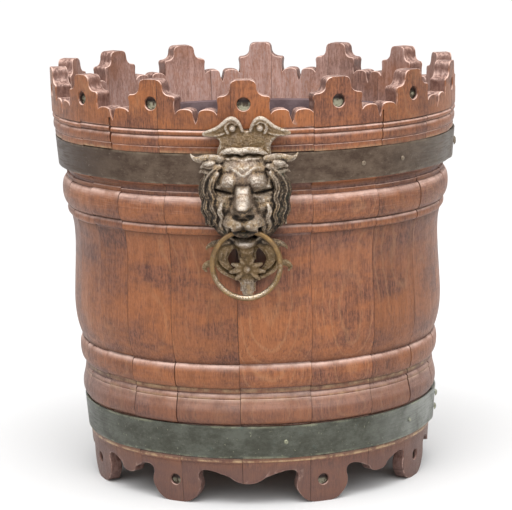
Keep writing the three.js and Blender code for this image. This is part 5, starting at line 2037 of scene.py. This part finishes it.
    def relief(self, piece: Piece) -> np.ndarray:
        """Measures how high or deep each vertex lies against its neighbourhood and the whole.

        Args:
            piece: The finished casting.

        Returns:
            For each vertex, about -1 in the hollows and 1 on the high places; how far that part of
            the casting is rubbed, with painted shade in the mouth; and how yellow its metal shows.
        """
        points = points_of(piece) / MM
        edges = np.empty(len(piece.data.edges) * 2, dtype=np.int32)
        piece.data.edges.foreach_get("vertices", edges)
        a, b = edges[0::2], edges[1::2]
        count = np.bincount(a, minlength=len(points)) + np.bincount(b, minlength=len(points))
        normals = np.empty(len(points) * 3, dtype=np.float32)
        piece.data.vertices.foreach_get("normal", normals)
        normals = normals.reshape(-1, 3)
        level = np.zeros(len(points))
        smoothed = points
        depths = dict(self.relief_rounds)
        for step in range(1, max(depths) + 1):
            total = np.zeros_like(points)
            for axis in range(3):
                total[:, axis] = np.bincount(a, smoothed[b, axis], len(points))
                total[:, axis] += np.bincount(b, smoothed[a, axis], len(points))
            smoothed = total / count[:, None]
            if step in depths:
                level += ((points - smoothed) * normals).sum(1) / depths[step]
        up = points[:, 2] - self.mouth
        front = -points[:, 1] - self.back(up)
        side = np.abs(points[:, 0] - self.face_shift)

        def patch(out: float, low: float, high: float) -> np.ndarray:
            """Marks the middle of the casting out to a side, between two heights."""
            return ramp(side, out, -2.5) * ramp(up, low, 2) * ramp(up, high, -2)

        # Rubbed nose, brow, chin and post; dull muzzle and mane; painted shade in the mouth; the crown by its own
        # height
        zone = np.clip((front - 25) / 24, -0.75, 0.1) + 0.2 * ramp(up, 44, 4) - 0.35 * ramp(side, 23, 4) * (up < 58)
        zone += 0.45 * patch(8, 24, 43) - patch(10.5, 13, 24.5) - 0.25 * patch(19, -6, 14.5)
        zone += 0.3 * patch(10, -16, -8) + 0.6 * patch(9, -64, -46) - 1.2 * patch(14, -6, 2.5)
        crown = ramp(up, 66, 5)
        lip = crown * ramp(up, 79, -3) * (front > 13)
        zone = zone * (1 - crown) + crown * (0.04 + 0.03 * (front - 9.2)) - 0.25 * lip
        tail = ramp(up, -13, -4) * ramp(up, -50, 4)
        yellow = np.maximum(0.5 * crown * (1 - lip), 0.4 * tail)
        level = np.clip(level * (1 + 0.4 * crown), -1.4, 1.4)
        return np.stack([level, zone, yellow], 1)

    def casting(self) -> Piece:
        """Models the whole casting as one skin.

        Returns:
            The casting.
        """
        parts = [self.head()]
        for strand in self.locks:
            parts += [self.bar(strand, side, self.ridge_height) for side in (1, -1)]
        for strand in self.strands:
            parts += [self.bar(strand, side) for side in (1, -1)]
        parts += [self.bar(strand, 1) for strand in self.middles]
        for outline, front in self.slabs:
            parts += [self.slab(outline, front, side) for side in (1, -1)]
        piece = join("front_lion_mask_cast", parts)
        apply_modifier(piece, "REMESH", mode="VOXEL", voxel_size=self.voxel * MM, adaptivity=0.0)
        apply_modifier(piece, "SMOOTH", factor=0.5, iterations=2)
        store(piece, "relief", self.relief(piece))
        make_active(piece)
        bpy.ops.object.shade_smooth()
        return piece

    def build(self) -> None:
        """Makes, dresses and places both masks."""
        material = CastBrassFinish().make(self.effects)
        front = self.casting()
        back = turned_copy(front, "back_lion_mask_cast", 180)
        place(front, Body.BUCKET, "cast_brass", material, "front_lion_mask")
        place(back, Body.BUCKET, "cast_brass", material, "back_lion_mask")
        worn = CastBrassFinish(
            "worn ring brass",
            low=paint(46, 35, 20),
            mid=paint(110, 87, 56),
            high=paint(214, 203, 186),
            grit=0.35,
            metallic=0.8,
            shine=0.22,
        )
        RingHandles(self).build(worn.make(self.effects))


@dataclass
class RingHandles:
    """The two rings that hang in the mouths."""

    mask: LionMask
    bar: float = 5.2
    rubbed: float = 0.05
    yellow: float = 0.2

    def ring(self) -> Piece:
        """Models one ring, a little uneven as cast and worn.

        Returns:
            The ring.
        """
        bpy.ops.object.select_all(action="DESELECT")
        radius = self.mask.ring_radius
        centre = self.mask.spot(0, -radius, 0)
        reach = self.mask.back(0) + self.mask.bar_front
        bpy.ops.mesh.primitive_torus_add(
            major_segments=120,
            minor_segments=20,
            major_radius=radius * MM,
            minor_radius=self.bar / 2 * MM,
            location=(0.0, -reach * MM, centre.z),
            rotation=(math.pi / 2, 0, 0),
        )
        bpy.ops.object.transform_apply(location=True, rotation=True, scale=True)
        piece = bpy.context.object
        piece.name = "front_ring_cast"
        piece.data.name = piece.name
        points = points_of(piece) / MM
        middle_z = self.mask.mouth - radius
        angle = np.arctan2(points[:, 0], -(points[:, 2] - middle_z))
        around = np.stack([np.sin(angle) * radius, np.full(len(angle), -reach), middle_z - np.cos(angle) * radius], 1)
        size = 0.97 + 0.03 * np.sin(3 * angle + 0.7) + 0.02 * np.sin(7 * angle)
        points = around + (points - around) * np.minimum(size, 1.0)[:, None]
        piece.data.vertices.foreach_set("co", (points * MM).astype(np.float32).ravel())
        # Painted light on the bar: brighter where it faces front and up, darker where it faces back and down; the
        # bottom of the ring is worn brighter
        outside = np.clip((points - around) @ np.array([0.0, -0.28, 0.3]), -0.9, 0.8)
        worn = np.cos(angle) * 0.35 + 0.1 * np.sin(5 * angle)
        same = np.ones(len(worn))
        store(piece, "relief", np.stack([outside + worn, self.rubbed * same, self.yellow * same], 1))
        bpy.ops.object.shade_smooth()
        return piece

    def build(self, material: Material) -> None:
        """Makes, dresses and places both rings.

        Args:
            material: Their material.
        """
        front = self.ring()
        back = turned_copy(front, "back_ring_cast", 180)
        place(front, Body.FRONT_HANDLE, "cast_brass", material, "front_ring")
        place(back, Body.BACK_HANDLE, "cast_brass", material, "back_ring")


# ---- Liner, bottom and fixings


@dataclass
class Liner:
    """The loose tub of sheet metal with a rolled rim."""

    wall: Wall
    effects: Effects
    floor: float = 71.3
    top: float = 348.0
    sheet: float = 1.6
    roll: float = 5.0
    side_room: float = 8.5
    rim_room: float = 1.6
    steps: int = 96

    def outline(self) -> list[Pair]:
        """Draws the section of the tub, which starts and ends on the axis.

        Returns:
            Radius and height of each point.
        """

        def side(z: float) -> float:
            """Gives the outside radius of the tub at a height."""
            return self.wall.inner(z) - self.side_room

        neck, half = self.top - self.roll, self.roll / 2
        out = self.wall.inner(neck) - self.rim_room
        foot = side(self.floor)
        line: list[Pair] = [(0.0, self.floor), (foot - 6, self.floor), (foot - 2.4, self.floor + 1.2)]
        line += [(foot - 0.4, self.floor + 3.6), (foot + 0.2, self.floor + 7)]
        line += [(side(z), z) for z in (130, 200, 262)]
        line += [(side(266) + 0.7, 266), (side(270), 270), (side(300), 300), (side(neck - 1), neck - 1)]
        middle = out - half
        for angle in (-80, -50, -20, 10, 40, 70, 100, 130):
            turn = math.radians(angle)
            line.append((middle + half * math.cos(turn), self.top - half + half * math.sin(turn)))
        thick, inside = self.sheet, foot - self.sheet
        line += [(side(neck) - thick + 0.5, self.top - 1.2), (side(neck) - thick, neck - 1)]
        line += [(side(z) - thick, z) for z in (300, 262, 200, 130)]
        line += [(inside + 0.2, self.floor + 7.6), (inside - 0.8, self.floor + 4.4), (inside - 2.6, self.floor + 2.4)]
        return line + [(inside - 6, self.floor + thick), (0.0, self.floor + thick)]

    def build(self) -> None:
        """Makes, dresses and places the liner."""
        piece = revolve("liner_tub_sheet", self.outline(), self.steps)
        shade(piece, 40)
        finish = PlainMetalFinish("oxidised liner metal", paint(86, 68, 70), paint(112, 94, 96), 0.3, 0.52)
        place(piece, Body.LINER, "liner_metal", finish.make(self.effects), "liner")


@dataclass
class FrameNodes:
    """The CAD nodes whose shape is right, which only get a finish."""

    effects: Effects

    def build(self) -> None:
        """Dresses the bottom boards, the dowels, the studs and the nuts."""
        board = BoardFinish().make(self.effects)
        steel = PlainMetalFinish("dull steel", paint(70, 64, 60), paint(96, 88, 80), 0.8, 0.5).make(self.effects)
        for name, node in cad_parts.items():
            material = board if name.startswith("bottom_") else steel if name.endswith(("_stud", "_nut")) else None
            if material:
                node.data.materials.clear()
                node.data.materials.append(material)
                LOG.info("%s: frame node dressed", name)


# ---- Studio


@dataclass
class Studio:
    """The pale floor, the soft light and the camera of the photograph."""

    camera_at: Triple = (0.1066, -2.319, 0.6237)
    azimuth: float = 0.04623
    pitch: float = 0.1762
    roll: float = -0.0211
    lens: float = 165.95
    floor_size: float = 60.0
    sky_turn: Pair = (20.0, 3.0)
    sky_spread: float = 110.0
    sky_power: float = 3.9
    world_light: float = 0.5

    def camera(self) -> None:
        """Places the camera."""
        level = math.cos(self.pitch)
        look = Vector((-math.sin(self.azimuth) * level, math.cos(self.azimuth) * level, -math.sin(self.pitch)))
        turn = look.to_track_quat("-Z", "Y") @ Quaternion((0.0, 0.0, 1.0), self.roll)
        bpy.ops.object.camera_add(location=self.camera_at, rotation=turn.to_euler())
        camera = bpy.context.object
        camera.data.sensor_width = 36.0
        camera.data.lens = self.lens
        camera.data.clip_end = 200.0
        bpy.context.scene.camera = camera

    def floor(self) -> None:
        """Lays the floor."""
        bpy.ops.object.select_all(action="DESELECT")
        bpy.ops.mesh.primitive_plane_add(size=self.floor_size)
        floor = bpy.context.object
        floor.name = "studio_floor"
        material = bpy.data.materials.new("pale floor")
        material.use_nodes = True
        shader = material.node_tree.nodes["Principled BSDF"]
        shader.inputs["Base Color"].default_value = paint(206, 206, 206)
        shader.inputs["Roughness"].default_value = 0.9
        floor.data.materials.append(material)

    def light(self, name: str, place_at: Triple, target: Triple, size: float, power: float) -> None:
        """Hangs a soft square light.

        Args:
            name: Name of the light.
            place_at: Its place.
            target: The point that it faces.
            size: Its side in metres.
            power: Its power in watts.
        """
        toward = Vector(target) - Vector(place_at)
        bpy.ops.object.light_add(type="AREA", location=place_at, rotation=toward.to_track_quat("-Z", "Y").to_euler())
        lamp = bpy.context.object
        lamp.name = name
        lamp.data.shape = "SQUARE"
        lamp.data.size = size
        lamp.data.energy = power

    def sky_panel(self) -> None:
        """Adds the very soft light that keeps the whole floor white."""
        bpy.ops.object.light_add(type="SUN", rotation=[math.radians(turn) for turn in (*self.sky_turn, 0.0)])
        lamp = bpy.context.object
        lamp.name = "sky panel"
        lamp.data.angle = math.radians(self.sky_spread)
        lamp.data.energy = self.sky_power

    def build(self) -> None:
        """Sets up the floor, the lights, the world and the camera."""
        self.floor()
        self.light("overhead softbox", (0.0, -0.7, 1.9), (0.0, 0.0, 0.35), 1.3, 20.0)
        self.light("front softbox", (1.0, -2.9, 1.2), (0.0, 0.0, 0.2), 1.6, 4.0)
        self.sky_panel()
        world = bpy.data.worlds.new("studio")
        world.use_nodes = True
        backdrop = world.node_tree.nodes["Background"]
        backdrop.inputs["Color"].default_value = (1.0, 1.0, 1.0, 1.0)
        backdrop.inputs["Strength"].default_value = self.world_light
        bpy.context.scene.world = world
        bpy.context.scene.view_settings.view_transform = "Standard"
        self.camera()


def main() -> None:
    """Builds the dressed bucket in its studio."""
    logging.basicConfig(level=logging.INFO, format="%(name)s: %(message)s")
    wall, effects = Wall(), Effects()
    Studio().build()
    Staves(wall, effects).build()
    Bands(wall, effects).build()
    LionMask(effects).build()
    Liner(wall, effects).build()
    FrameNodes(effects).build()


if __name__ == "__main__":
    main()
